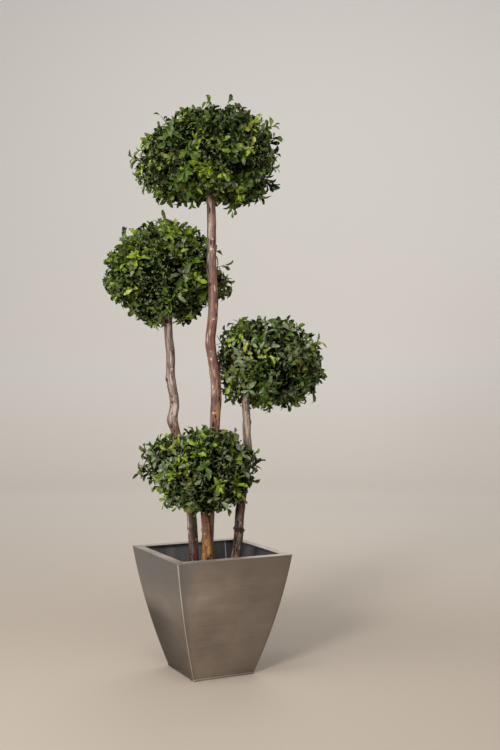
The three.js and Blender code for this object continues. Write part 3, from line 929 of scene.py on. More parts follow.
bark = {
    "sides": 60,
    "step": 3.0,
    "lineSteps": 24,  # between two points of a route
    "flareHeight": 45,
    "lobeDepths": (0.05, 0.03),
    "lobePitches": (170, 90),
    "lumps": 0.8,
    "grit": 0.3,
    "waves": {  # how many round the stem for each ridge, how long they are along it, and in how many layers
        "ragged": (0.8, 16, 3),
        "lumps": (0.35, 30, 3),
        "grit": (1.6, 7, 2),
    },
    "ridgeLayers": 5,
    "evenRadius": 15,
    "crackEdge": (3.2, 0.5),  # how sharply and from where a ridge's flank is shaded
    "turnRagged": 60,
    "widestLobe": 1.12,
    "readingStep": 2.0,
    "stemEdge": 0.97,  # share of a stem's radius where its seen edge still shows a mark
    "markMargin": 0.5,
    "raggedness": 0.75,  # how far noise moves a mark's edge
    "leastMark": (3.0, 0.14),  # as tall and wide as the mesh can still carry
    "markEdge": (1.3, 0.45),  # where a mark ends and how softly
    "relief": {"wood": -0.6, "dark": -1.9, "callus": 0.6, "peel": -0.8, "paintedSheen": 0.3},
    "grains": {  # noise in the bark's own space: how it is stretched, its detail and its roughness
        "fibre": ((330, 330, 26), 4.0, 0.65),
        "streak": ((95, 95, 10), 5.0, 0.62),
        "brown": ((120, 120, 17), 5.0, 0.65),
        "scar": ((110, 110, 150), 4.0, 0.6),
        "speck": ((300, 300, 210), 2.0, 0.6),
    },
    "layers": [  # a colour and where it lies: the grain or attribute, from, to, least and most
        ("deep", "brown", (0.5, 0.64, 0.0, 0.8)),
        ("deep", "fibre", (0.5, 0.72, 0.0, 0.55)),
        ("deep", "crack", (0.2, 1.0, 0.0, 0.5)),
        ("wood", "scar", (0.66, 0.7, 0.0, 0.8)),
        ("callus", "scar", (0.34, 0.3, 0.0, 0.8)),
        ("hollow", "speck", (0.66, 0.72, 0.0, 0.7)),
    ],
}


def stemLine(route):
    # A centripetal Catmull-Rom line through the points of the route
    points = np.array(route, float)
    before, after = 2 * points[0] - points[1], 2 * points[-1] - points[-2]
    chain = np.vstack([before, points, after])
    line = []
    for i in range(1, len(chain) - 2):
        p0, p1, p2, p3 = chain[i - 1:i + 3]
        d0, d1, d2 = (math.sqrt(np.linalg.norm(b - a)) for a, b in ((p0, p1), (p1, p2), (p2, p3)))
        t1 = ((p1 - p0) / d0 - (p2 - p0) / (d0 + d1) + (p2 - p1) / d1) * d1
        t2 = ((p2 - p1) / d1 - (p3 - p1) / (d1 + d2) + (p3 - p2) / d2) * d1
        for share in np.linspace(0, 1, bark["lineSteps"], endpoint=False):
            curve = p1 + t1 * share + (3 * (p2 - p1) - 2 * t1 - t2) * share ** 2
            line.append(curve + (2 * (p1 - p2) + t1 + t2) * share ** 3)
    line.append(points[-1])
    return np.array(line)


def stemMiddle(stem, heights):
    # Side and depth of a stem's middle at some heights
    line = stem["line"]
    return np.stack([np.interp(heights, line[:, 2], line[:, axis]) for axis in (0, 1)], -1)


def stemRadius(stem, heights):
    foot, tip = stem["route"][0][2], stem["route"][-1][2]
    share = np.clip((heights - foot) / (tip - foot), 0, 1)
    flare = 1 + stem["flare"] * np.exp(-(heights - foot) / bark["flareHeight"])
    return lerp(stem["foot"], stem["tip"], share) * flare


def inPicture(points):
    # Column, row and millimetres to a pixel of each of the plant's points, as the photograph shows it
    away = turnToPlanter(points) * mm - viewpoint["place"]
    columns, rows = viewpoint["picture"]
    scale = away @ turnToPlanter((0, 1, 0)) * viewpoint["sensor"] / viewpoint["lens"] / rows
    column = columns / 2 + away @ turnToPlanter((1, 0, 0)) / scale
    row = rows * (0.5 + viewpoint["shiftUp"]) - away[:, 2] / scale
    return column, row, scale / mm


def allMarks(stem):
    # The set marks, and the seen ones with a height, a bearing and half sizes worked out for each
    marks = {kind: list(stem["setMarks"].get(kind, [])) for kind in bark["relief"]}
    route = np.array(stem["route"], float)
    heights = np.arange(route[0, 2], route[-1, 2], bark["readingStep"])
    middles = np.column_stack([np.interp(heights, route[:, 2], route[:, axis]) for axis in range(3)])
    columns, rows, scales = inPicture(middles)
    scales = scales / 2
    for kind, seen in stem["seenMarks"].items():
        for column, row, tall, wide in seen:
            at = np.argmin(np.abs(rows - row))
            radius = lerp(stem["foot"], stem["tip"], (heights[at] - route[0, 2]) / np.ptp(route[:, 2]))
            across = 2 * (column - columns[at]) * scales[at] / radius
            bearing = -math.acos(np.clip(across, -bark["stemEdge"], bark["stemEdge"]))
            tall = tall * scales[at] + bark["markMargin"]
            marks[kind].append((heights[at], bearing, tall, wide * scales[at] / radius))
    return marks


def turnFrom(bearings, bearing):
    # How far bearings are from one, the short way round
    return (bearings - bearing + math.pi) % (2 * math.pi) - math.pi


def markStrength(stem, kind, heights, bearings, ragged):
    # How much of a kind of mark lies at each point, from 0 to 1, with ragged edges
    total = np.zeros_like(heights)
    end, softness = bark["markEdge"]
    for height, bearing, tall, wide in stem["marks"][kind]:
        up = (heights - height) / max(tall, bark["leastMark"][0])
        around = turnFrom(bearings, bearing) / max(wide, bark["leastMark"][1])
        away = np.sqrt(up ** 2 + around ** 2) + ragged * bark["raggedness"]
        total = np.maximum(total, np.clip((end - away) / softness, 0, 1))
    return total


def barkNoise(ringSpots, heights, shift, count, length, layers):
    return fractal(np.column_stack([ringSpots * count, heights / length + shift]), 0.9, 2.0, layers)


def buildStem(name, stem):
    foot, tip = stem["route"][0][2], stem["route"][-1][2]
    levels = np.linspace(foot, tip, round((tip - foot) / bark["step"]) + 1)
    around = np.linspace(0, 2 * math.pi, bark["sides"], endpoint=False)
    heights, bearings = (grid.ravel() for grid in np.meshgrid(levels, around, indexing="ij"))
    phase, offset = stem["phase"], stem["phase"] * 10
    lobes = 1 + bark["lobeDepths"][0] * np.cos(2 * bearings + phase + heights / bark["lobePitches"][0])
    lobes += bark["lobeDepths"][1] * np.cos(3 * bearings - phase - heights / bark["lobePitches"][1])
    plain = stemRadius(stem, heights)
    radius = plain * lobes
    for bumpHeight, bumpBearing, size, reach in stem["bumps"]:
        arc = plain * turnFrom(bearings, bumpBearing)
        radius += size * np.exp(-0.5 * ((heights - bumpHeight) ** 2 + arc ** 2) / reach ** 2)
    circle = np.stack([np.cos(bearings), np.sin(bearings)], -1)
    ringSpots = circle * stem["ridgeCount"]
    ridges = barkNoise(ringSpots, heights, offset, 1, stem["ridgeLength"], bark["ridgeLayers"])
    ragged = barkNoise(ringSpots, heights, offset, *bark["waves"]["ragged"])
    lumps = barkNoise(ringSpots, heights, -offset, *bark["waves"]["lumps"])
    grit = barkNoise(ringSpots, heights, -offset, *bark["waves"]["grit"])
    radius += stem["ridges"] * (-np.abs(ridges) * 2 + 0.5) + bark["lumps"] * lumps + bark["grit"] * grit
    strengths = {}
    for kind, depth in bark["relief"].items():
        strengths[kind] = markStrength(stem, kind, heights, bearings, ragged)
        radius += depth * strengths[kind]
    places = stemMiddle(stem, heights) + circle * radius[:, None]
    points = turnToPlanter(np.column_stack([places, heights])) * mm
    shape, faces = loft(points.reshape(len(levels), bark["sides"], 3))
    mesh = newMesh(name, shape, faces)
    # The bark's own space is the stem made straight and even, so that streaks follow its bends
    straight = np.column_stack([circle * bark["evenRadius"], heights + 1000 * phase])
    setAttribute(mesh, "barkSpace", "FLOAT_VECTOR", straight * mm)
    for kind, strength in strengths.items():
        setAttribute(mesh, kind, "FLOAT", strength)
    sharpness, start = bark["crackEdge"]
    setAttribute(mesh, "crack", "FLOAT", np.clip(np.abs(ridges) * sharpness - start, 0, 1))
    low, high = stem["turnHeight"]
    share = np.clip((heights + bark["turnRagged"] * ragged - low) / (high - low), 0, 1)
    setAttribute(mesh, "upper", "FLOAT", share * share * (3 - 2 * share))
    settle(f"{name}_wood", mesh, barkFinish(name, stem), [name], sharpAngle=70)


def markShare(tree, kind, grain):
    # A kind of mark with its edge broken up by fine noise
    broken = combine(tree, "ADD", attributeValue(tree, kind), spread(tree, grain, 0.35, 0.65, -0.3, 0.3))
    return spread(tree, broken, 0.32, 0.6, 0.0, 0.95)


def barkFinish(name, stem):
    # Long streaks of two barks, fine fibres, small scars and specks, and the marks from their attributes, the
    # pale ones painted sheen
    material, tree, shader = newMaterial(f"{name}Bark", stem["high"], stem["roughness"])
    space = addNode(tree, "ShaderNodeAttribute", attribute_name="barkSpace").outputs["Vector"]
    grains = {label: objectNoise(tree, *values, source=space) for label, values in bark["grains"].items()}
    grains["crack"] = attributeValue(tree, "crack")
    fibre, scar = grains["fibre"], grains["scar"]
    upper = attributeValue(tree, "upper")
    mixed = blendColours(tree, upper, stem["low"], stem["high"])
    streaks = spread(tree, grains["streak"], 0.46, 0.62, 0.0, 0.85)
    streaks = multiply(tree, streaks, spread(tree, upper, 0.0, 1.0, stem["lowStreaks"], 1.0))
    mixed = blendColours(tree, streaks, mixed, stem["streak"])
    for colour, grain, span in bark["layers"]:
        mixed = cover(tree, mixed, stem[colour], grains[grain], *span)
    mixed = blendColours(tree, markShare(tree, "callus", scar), mixed, stem["callus"])
    # The pale marks are painted sheen, lighter patches that stand for highlights.
    mixed = cover(tree, mixed, stem["paintedSheen"], attributeValue(tree, "paintedSheen"), 0.0, 1.0, 0.0, 0.8)
    for kind in ("peel", "wood"):
        bare = cover(tree, stem[kind], stem["callus"], fibre, 0.42, 0.62, 0.0, 0.6)
        mixed = blendColours(tree, markShare(tree, kind, scar), mixed, bare)
    dark = markShare(tree, "dark", scar)
    mixed = blendColours(tree, dark, mixed, stem["hollow"])
    tree.links.new(mixed, shader.inputs["Base Color"])
    rough = spread(tree, fibre, 0.3, 0.7, stem["roughness"] - 0.12, stem["roughness"] + 0.1)
    dull = addNode(tree, "ShaderNodeMath", {0: rough, 1: dark}, operation="MAXIMUM", use_clamp=True)
    tree.links.new(dull.outputs["Value"], shader.inputs["Roughness"])
    roughen(tree, shader, fibre, 0.6, 0.0012)
    return material


def buildStems():
    for name, stem in stems.items():
        stem["line"] = stemLine(stem["route"])
        stem["marks"] = allMarks(stem)
        buildStem(name, stem)


buildStems()
print("stems ready")


# Balls: middle in the plant's own axes, half width and height out to the last leaves, and how square they
# are. The clipped outline's half width and half height are swelled or cut by the shares in "outline", one
# every 15 degrees in the front view from the right upwards. A spray stands out at an angle in that view,
# and so far from the middle. "greyness" is how often grey leaves come, "pulls" how much lighter or darker
# the tints are dealt at foot and top, painted light and shade.

balls = {
    "ball_top": {
        "middle": (-12, -22, 1648), "halfWidth": 230, "halfHeight": 178, "squareness": 2.5,
        "clipped": (243, 150), "carrier": "stem_tall", "boughs": 104, "seed": 21,
        "greyness": 0.2, "pulls": (0.55, -0.6),
        "outline": (
            0.98, 1.0, 0.97, 1.02, 1.1, 1.02, 0.97, 0.91, 0.86, 0.86, 0.76, 0.85,
            0.95, 1.0, 1.0, 1.1, 0.98, 0.88, 0.9, 0.93, 1.18, 1.12, 1.08, 0.94,
        ),
        "sprays": [
            (184, 253), (173, 238), (198, 256), (204, 256), (5, 246), (25, 255), (339, 259), (322, 246),
            (299, 208), (252, 178), (67, 204), (56, 211), (139, 213), (350, 240), (14, 246), (82, 168),
        ],
    },
    "ball_left": {
        "middle": (-143, 80, 1286), "halfWidth": 208, "halfHeight": 177, "squareness": 2.1,
        "clipped": (218, 180), "carrier": "stem_left", "boughs": 92, "seed": 22,
        "greyness": 0.6, "pulls": (0.6, 0.95),
        "outline": (
            0.84, 0.7, 0.78, 0.88, 0.9, 0.94, 0.98, 1.0, 0.98, 0.93, 0.95, 1.0,
            1.08, 1.1, 0.96, 0.94, 0.92, 1.05, 0.94, 0.96, 0.94, 0.84, 0.88, 0.94,
        ),
        "sprays": [
            (169, 221), (182, 210), (205, 203), (139, 211), (92, 194), (79, 177), (55, 185), (26, 200),
            (7, 211), (349, 232), (340, 208), (330, 198), (259, 194), (284, 175), (295, 176), (233, 181),
            (249, 185), (345, 222), (355, 214), (190, 214), (352, 224), (341, 212),
        ],
    },
    "ball_right": {
        "middle": (197, 35, 986), "halfWidth": 174, "halfHeight": 153, "squareness": 2.6,
        "clipped": (180, 155), "carrier": "stem_right", "boughs": 72, "seed": 23,
        "greyness": 2.8, "pulls": (0.2, -0.4),
        "outline": (
            0.98, 1.02, 0.82, 0.8, 0.92, 0.93, 1.0, 0.97, 1.06, 1.36, 1.14, 1.14,
            1.13, 1.1, 1.08, 1.06, 1.03, 0.93, 0.98, 0.92, 0.92, 0.95, 0.99, 0.99,
        ),
        "sprays": [
            (134, 210), (146, 200), (121, 179), (70, 155), (21, 176), (344, 184), (325, 189), (315, 169),
            (292, 160), (267, 162), (222, 196), (228, 187), (5, 168),
        ],
    },
    "ball_low": {
        "middle": (-35, -20, 642), "halfWidth": 192, "halfHeight": 145, "squareness": 2.2,
        "clipped": (198, 141), "carrier": "stem_front", "boughs": 80, "seed": 24,
        "greyness": 3.6, "pulls": (0.4, -0.12),
        "outline": (
            0.88, 1.04, 0.93, 1.1, 1.28, 1.1, 0.98, 0.93, 0.8, 0.96, 1.0, 0.96,
            0.7, 0.8, 0.58, 0.94, 0.78, 0.9, 0.98, 1.0, 0.9, 1.04, 0.97, 0.97,
        ),
        "sprays": [
            (178, 205), (159, 200), (136, 162), (201, 161), (221, 166), (238, 160), (266, 149),
            (300, 157), (307, 168), (327, 184), (335, 209), (349, 192), (3, 209), (8, 204), (18, 209),
            (47, 188), (62, 179), (95, 152), (173, 200), (167, 190), (181, 206), (153, 184), (163, 196),
        ],
    },
}

twigs = {
    "boughStarts": (0.3, 1.0),  # between the stem's end and the ball's middle
    "boughEnd": 0.64,  # share of the clipped outline where a bough divides into shoots
    "boughMiddle": 0.45,
    "boughBend": 9,
    "boughRadii": (3.4, 1.9),
    "shootBend": 22,
    "shootRadii": (1.6, 0.9),
    "insideStemRadii": (9, 6.3),
    "shootsPerBough": 6,
    "bearingJitter": 0.15,
    "cone": 1.2,
    "outerShare": (0.82, 1.04),
    "innerShare": (0.62, 0.78),
    "outlineDepth": 0.75,
    "lumps": 0.05,
    "lumpCount": 2.4,
    "scatter": 0.42,
    "strayScatter": 0.6,  # of a clipped shoot's scatter
    "liftTop": 0.3,
    "liftBottom": -0.25,
    "endInset": 20,
    "leafyLength": 44,
    "sprayDepth": 0.22,  # how far forward or back the front view's sprays lean
    "strays": 18,
    "strayShare": (1.02, 1.18),
    "strayLength": 62,
    "strayDepth": 0.35,  # in front and behind, where the front view's sprays leave off
    "strayBare": 0.25,  # of a stray shoot's leaves, those left out
    "reach": 1.06,  # of the half sizes, as far as a clipped shoot's leaves may go
    "strayReach": 1.15,
    "boxMargin": 0.019,
    "otherBallReach": 1.08,
    "stemClearance": 3,
    "halfWidth": 2,
    "sides": 5,
    "colour": tone(92, 88, 52),
    "tones": (tone(62, 66, 30), tone(96, 78, 50)),
}

leaves = {
    "length": 33,
    "growth": (0.62, 1.3),
    "strayGrowth": 1.05,
    "perShoot": 11,
    "tipLeaves": 7,
    "tipShare": 0.7,  # of the leaves at a shoot's tip, those that have its own tint
    "leanTip": 0.45,
    "leanBase": 1.3,
    "leanJitter": 0.2,
    "turnJitter": 0.35,
    "sizeAlong": (0.86, 1.06),  # at the shoot's tip and at its foot
    "roll": 0.55,
    "droopTop": 0.02,
    "droopBottom": 0.42,
    "testedShares": (0.15, 0.55, 1.0),  # of its length, where a leaf must be clear of stems and other balls
    "testedHalfWidth": 5,
    "rows": ((0.27, 0.5), (0.62, 1.0), (0.88, 0.72)),  # share of the length, share of the half width
    "halfWidth": 0.212,
    "thickness": 0.02,
    "arch": 0.10,
    "forms": (  # curl, fold, twist, wave, sideways bend
        (0.05, 0.50, 0.05, 0.03, 0.00), (0.26, 0.35, 0.20, -0.03, 0.07), (-0.14, 0.60, -0.20, 0.03, -0.06),
        (0.40, 0.65, 0.12, 0.05, 0.05), (0.55, 0.25, -0.15, 0.02, -0.03), (0.15, -0.40, 0.15, 0.04, -0.08),
        (0.04, 0.95, -0.10, -0.03, 0.04), (0.34, 0.85, 0.30, 0.04, -0.10),
    ),
    "roughness": 0.46,
    "coatShare": 0.6,  # of the shine
    "coatRoughness": 0.24,
    "underside": tone(92, 106, 58),
    "undersideShine": 0.15,
    "patchSize": 95,
    "patchPull": 1.5,  # how strongly the tints keep together in patches
    "strayPull": 1.2,  # how much lighter the sprays that stand out are
    "pullHeights": (0.2, 0.8),  # from a ball's foot to its top, where its two pulls hold
    "topHeights": (0.35, 0.85),  # where the tints change from those low on a ball to those on its top
    "olderShare": 0.4,  # how much of the outside's tints the older leaves take
    "sameTint": (0.45, 0.8),  # how often a clipped shoot and a spray keep one tint all along
    "tints": {  # colour, how often it comes inside the ball, low on it and on its top, brightness and shine; the darker odds inside and the lighter ones on top are painted shade and light
        "shade": (tone(8, 13, 3), (0.64, 0.27, 0.18), -1.0, 0.03),
        "deep": (tone(26, 41, 10), (0.30, 0.26, 0.24), -0.6, 0.08),
        "mid": (tone(67, 93, 15), (0.06, 0.17, 0.24), 0.1, 0.2),
        "fresh": (tone(126, 150, 28), (0.01, 0.115, 0.185), 1.0, 0.3),
        "lime": (tone(153, 164, 66), (0.0, 0.035, 0.045), 0.7, 0.26),
        "olive": (tone(106, 107, 42), (0.0, 0.05, 0.05), 0.5, 0.2),
        # Grey leaves stand partly for pale undersides and partly for painted sheen.
        "grey": (tone(114, 125, 94), (0.01, 0.13, 0.06), 0.0, 0.45),
        "gold": (tone(148, 147, 62), (0.0, 0.004, 0.006), 0.3, 0.3),
    },
}

# A near-black core inside each ball, painted shade between the leaves.
heart = {
    "share": 0.6,  # of the clipped outline
    "lumps": 0.06,
    "detail": 5,
    "lumpSize": 40,
    "colour": tone(12, 14, 6),
    "tones": (tone(3, 4, 2), tone(22, 27, 11)),
}

boxSize = np.array(cadHigh) - np.array(cadLow)
boxLow = np.array(cadLow) - boxSize * twigs["boxMargin"]
boxHigh = np.array(cadHigh) + boxSize * twigs["boxMargin"]


def squareReach(directions, halfWidth, halfHeight, power):
    # From the middle of a rounded block to its outside; a power of 2 makes it round, more makes it square
    flat = np.hypot(directions[..., 0], directions[..., 1]) / halfWidth
    tall = np.abs(directions[..., 2]) / halfHeight
    return 1 / (flat ** power + tall ** power) ** (1 / power)


def clippedReach(ball, directions):
    # How far the clipped outline lies from the middle, as uneven as in the front view, with small lumps
    reach = squareReach(directions, *ball["clipped"], ball["squareness"])
    turn = np.degrees(np.arctan2(directions[..., 2], directions[..., 0])) % 360
    shares = [*ball["outline"], ball["outline"][0]]
    uneven = np.interp(turn, np.linspace(0, 360, len(shares)), shares)
    reach = reach * (1 + (uneven - 1) * np.exp(-(directions[..., 1] / twigs["outlineDepth"]) ** 2))
    spots = directions.reshape(-1, 3) * twigs["lumpCount"]
    lumps = fractal(spots, 0.8, 2.0, 3, (ball["seed"], 0, 0))
    return reach * (1 + twigs["lumps"] * lumps.reshape(reach.shape))


def frontDirection(bearing, depth):
    angle = math.radians(bearing)
    return unit(np.array((math.cos(angle), depth, math.sin(angle))))


def shareOfOutline(ball, points):
    away = points - ball["middle"]
    distance = np.linalg.norm(away, axis=-1)
    directions = away / distance[..., None]
    return distance / squareReach(directions, ball["halfWidth"], ball["halfHeight"], ball["squareness"])


def insideOwnSpace(name, points, reach):
    # Inside the box and a ball's own reach, and out of the other balls
    places = turnToPlanter(points) * mm
    inside = np.all((places > boxLow) & (places < boxHigh), axis=-1)
    for other, ball in balls.items():
        share = shareOfOutline(ball, points)
        inside &= share < reach if other == name else share > twigs["otherBallReach"]
    return inside


def clearOfLimbs(points, halfWidth):
    # Out of every stem, for twigs or leaves of some half width
    clear = np.ones(points.shape[:-1], bool)
    for stem in stems.values():
        heights = points[..., 2]
        away = np.linalg.norm(points[..., :2] - stemMiddle(stem, heights), axis=-1)
        beyond = (heights < stem["route"][0][2] - halfWidth) | (heights > stem["route"][-1][2] + halfWidth)
        room = stemRadius(stem, heights) * bark["widestLobe"] + halfWidth + twigs["stemClearance"]
        clear &= beyond | (away > room)
    return clear


def acrossFrom(directions):
    # Two directions square to each given one
    helper = np.where(np.abs(directions[..., 2:]) < 0.9, (0.0, 0.0, 1.0), (1.0, 0.0, 0.0))
    first = unit(np.cross(directions, helper))
    return first, np.cross(directions, first)


def evenDirections(count, draw):
    # Directions even over the whole ball, on a spiral from its top to its foot
    level = 1 - 2 * (np.arange(count) + 0.5) / count
    jitter = draw.uniform(-twigs["bearingJitter"], twigs["bearingJitter"], count)
    bearing = np.arange(count) * goldenTurn + jitter
    flat = np.sqrt(1 - level ** 2)
    return np.stack([flat * np.cos(bearing), flat * np.sin(bearing), level], -1)


def clippedShoots(ball, boughs, draw):
    # Each bough divides into shoots spread in a cone round it: their directions, reaches and boughs
    steps = np.arange(twigs["shootsPerBough"])
    sideA, sideB = acrossFrom(boughs)
    away = twigs["cone"] * 2 / math.sqrt(len(boughs)) * np.sqrt((steps + 0.5) / len(steps))
    around = steps * goldenTurn + draw.uniform(0, 2 * math.pi, len(boughs))[:, None]
    spreadOut = np.cos(around)[..., None] * sideA[:, None] + np.sin(around)[..., None] * sideB[:, None]
    directions = unit(boughs[:, None] + np.tan(away)[None, :, None] * spreadOut).reshape(-1, 3)
    bough, step = np.divmod(np.arange(len(directions)), len(steps))
    inner = step % 3 == 1
    outerShare = draw.uniform(*twigs["outerShare"], len(directions))
    innerShare = draw.uniform(*twigs["innerShare"], len(directions))
    reach = clippedReach(ball, directions) * np.where(inner, innerShare, outerShare)
    return directions, reach, bough, inner


def strayShoots(ball, boughs, draw):
    # Longer shoots that stand out of the clipped outline: the front view's, and more in front and behind
    around = evenDirections(twigs["strays"], draw)
    around = around[np.abs(around[:, 1]) > twigs["strayDepth"]]
    depths = draw.uniform(-twigs["sprayDepth"], twigs["sprayDepth"], len(ball["sprays"]))
    front = np.array([frontDirection(bearing, depth) for (bearing, _), depth in zip(ball["sprays"], depths)])
    directions = np.concatenate([front, around])
    share = draw.uniform(*twigs["strayShare"], len(around))
    reach = np.concatenate([[reach for _, reach in ball["sprays"]], clippedReach(ball, around) * share])
    return directions, reach, np.argmax(directions @ boughs.T, axis=1)


def growShoots(name, ball, draw):
    # Every array has a row for each shoot
    boughs = evenDirections(ball["boughs"], draw)
    directions, out, bough, inner = clippedShoots(ball, boughs, draw)
    strayDirections, strayOut, strayBough = strayShoots(ball, boughs, draw)
    stray = np.arange(len(directions) + len(strayDirections)) >= len(directions)
    directions = np.concatenate([directions, strayDirections])
    out = np.concatenate([out, strayOut]) - twigs["endInset"]
    bough = np.concatenate([bough, strayBough])
    inner = np.concatenate([inner, np.zeros(len(strayOut), bool)])
    lift = lerp(twigs["liftBottom"], twigs["liftTop"], (directions[:, 2] + 1) / 2)
    scatter = twigs["scatter"] * np.where(stray, twigs["strayScatter"], 1.0)[:, None]
    axes = directions + scatter * draw.normal(size=directions.shape)
    axes[:, 2] += lift
    axes = unit(axes)
    leafy = np.where(stray, twigs["strayLength"], twigs["leafyLength"])
    ends = ball["middle"] + directions * out[:, None]
    roots = ends - axes * leafy[:, None]
    forks = ball["middle"] + boughs * (clippedReach(ball, boughs) * twigs["boughEnd"])[:, None]
    keep = np.ones(len(ends), bool)
    for points in (ends, roots, (ends + roots) / 2):
        keep &= clearOfLimbs(points, twigs["halfWidth"])
    for points in (ends, roots):
        keep &= insideOwnSpace(name, points, twigs["strayReach"])
    shoots = {
        "directions": directions, "axes": axes, "ends": ends, "roots": roots, "forks": forks[bough],
        "inner": inner, "stray": stray, "leafy": leafy,
        "reach": np.where(stray, twigs["strayReach"], twigs["reach"]),
    }
    return {key: value[keep] for key, value in shoots.items()}, forks


def growLeaves(name, ball, shoots, draw):
    # Leaves stand in a spiral on each shoot, the youngest at its end. The arrays have a row for each shoot
    # and a column for each of its leaves, until those that stay are picked out.
    count, per = len(shoots["ends"]), leaves["perShoot"]
    order = np.arange(per)
    axes = shoots["axes"][:, None]
    sideA, sideB = acrossFrom(axes)
    bearing = order * goldenTurn + draw.uniform(0, 2 * math.pi, (count, 1))
    bearing = bearing + draw.normal(0, leaves["turnJitter"], (count, per))
    around = np.cos(bearing)[..., None] * sideA + np.sin(bearing)[..., None] * sideB
    lean = lerp(leaves["leanTip"], leaves["leanBase"], np.sqrt(order / (per - 1)))
    lean = (lean + draw.normal(0, leaves["leanJitter"], (count, per)))[..., None]
    along = axes * np.cos(lean) + around * np.sin(lean)
    height = (shoots["directions"][:, 2] + 1) / 2
    along[..., 2] -= lerp(leaves["droopBottom"], leaves["droopTop"], np.sqrt(height))[:, None]
    along = unit(along)
    facing = unit(axes - along * np.sum(along * axes, -1, keepdims=True) + 1e-6)  # never of no length
    roll = draw.normal(0, leaves["roll"], (count, per, 1))
    facing = facing * np.cos(roll) + np.cross(along, facing) * np.sin(roll)
    size = leaves["length"] * draw.uniform(*leaves["growth"], (count, per))
    size *= lerp(*leaves["sizeAlong"], order / (per - 1))
    size[shoots["stray"]] *= leaves["strayGrowth"]
    spacing = order * (shoots["leafy"] / per)[:, None]
    roots = shoots["ends"][:, None] - axes * spacing[..., None]
    form = draw.integers(0, len(leaves["forms"]), (count, per))
    reach = shoots["reach"][:, None] * np.ones(per)
    keep = ~(shoots["stray"][:, None] & (draw.random((count, per)) < twigs["strayBare"]))
    for share in leaves["testedShares"]:
        points = roots + along * size[..., None] * share
        keep &= insideOwnSpace(name, points, reach) & clearOfLimbs(points, leaves["testedHalfWidth"])
    tip, older = sprayTints(ball, shoots, height, draw)
    young = (order < leaves["tipLeaves"]) & (draw.random((count, per)) < leaves["tipShare"])
    tint = np.where(young, tip[:, None], older[:, None])
    grown = {"roots": roots, "along": along, "facing": facing, "size": size, "form": form, "tint": tint}
    return {key: value[keep] for key, value in grown.items()}


def sprayTints(ball, shoots, height, draw):
    # A tint for each shoot's tip and one for its older leaves; bright and dark tints keep together in
    # patches.
    # Inner shoots take the dark inside tints, painted shade; older leaves lean to them, darker with age and
    # painted shade; the pulls make foot and top lighter or darker, painted light.
    chances = np.array([odds for _, odds, _, _ in leaves["tints"].values()])
    brightness = np.array([bright for _, _, bright, _ in leaves["tints"].values()])
    patch = fractal(shoots["ends"] / leaves["patchSize"], 0.9, 2.0, 3, (0, ball["seed"], 0))
    top = np.interp(height, leaves["topHeights"], (0, 1))[:, None]
    pull = leaves["patchPull"] * patch + leaves["strayPull"] * shoots["stray"]
    pull += np.interp(height, leaves["pullHeights"], ball["pulls"])
    outside = lerp(chances[:, 1], chances[:, 2], top) * np.exp(pull[:, None] * brightness)
    outside[:, list(leaves["tints"]).index("grey")] *= ball["greyness"]
    # inner shoots take the inside odds, mostly dark: painted shade
    outside = np.where(shoots["inner"][:, None], chances[:, 0], outside)
    tip = drawTint(outside, draw)
    same = draw.random(len(height)) < np.where(shoots["stray"], *reversed(leaves["sameTint"]))
    older = np.where(same, tip, drawTint(outside * leaves["olderShare"] + chances[:, 0], draw))
    return tip, older


def drawTint(odds, draw):
    # The number of one tint for each row of odds
    steps = np.cumsum(odds / odds.sum(1, keepdims=True), axis=1)
    return (draw.random(len(odds))[:, None] > steps).sum(1)


def twigLines(ball, shoots, forks, draw):
    # Every bough and shoot as a chain of points with a thickness at each
    middle = np.array(ball["middle"], float)
    seat = np.array(stems[ball["carrier"]]["route"][-1], float)
    lines = [(np.linspace(seat + (0, 0, 1), middle, 6), np.linspace(*twigs["insideStemRadii"], 6))]
    for fork in forks:
        start = lerp(seat, middle, draw.uniform(*twigs["boughStarts"]))
        bend = lerp(start, fork, twigs["boughMiddle"]) + draw.normal(0, twigs["boughBend"], 3)
        curve = bezier(start, bend, fork, 7)
        lines.append((curve, np.linspace(*twigs["boughRadii"], len(curve))))
    for fork, root, end, axis in zip(*(shoots[key] for key in ("forks", "roots", "ends", "axes"))):
        curve = bezier(fork, root - axis * twigs["shootBend"], root, 5)
        curve = np.vstack([curve, (root + end) / 2, end])
        lines.append((curve, np.linspace(*twigs["shootRadii"], len(curve))))
    return lines


def bezier(start, bend, end, count):
    # So many points on a curve that leaves towards its bend and comes from it
    shares = np.linspace(0, 1, count)[:, None]
    return start * (1 - shares) ** 2 + bend * 2 * shares * (1 - shares) + end * shares ** 2


def twigTree():
    tree, entry, out = newTree("twigTubes", [
        ("Sides", "NodeSocketInt", 5), ("Bark", "NodeSocketMaterial", None),
    ])
    curve = addNode(tree, "GeometryNodeMeshToCurve", {"Mesh": entry.outputs["Geometry"]})
    section = addNode(tree, "GeometryNodeCurvePrimitiveCircle", {
        "Resolution": entry.outputs["Sides"], "Radius": 1.0,
    })
    tube = addNode(tree, "GeometryNodeCurveToMesh", {
        "Curve": curve.outputs["Curve"], "Profile Curve": section.outputs["Curve"],
        "Scale": namedField(tree, "thickness", "FLOAT"), "Fill Caps": True,
    })
    real = addNode(tree, "GeometryNodeRealizeInstances", {"Geometry": tube.outputs["Mesh"]})
    coloured = addNode(tree, "GeometryNodeSetMaterial", {
        "Geometry": real.outputs["Geometry"], "Material": entry.outputs["Bark"],
    })
    tree.links.new(coloured.outputs["Geometry"], out.inputs["Geometry"])
    return tree


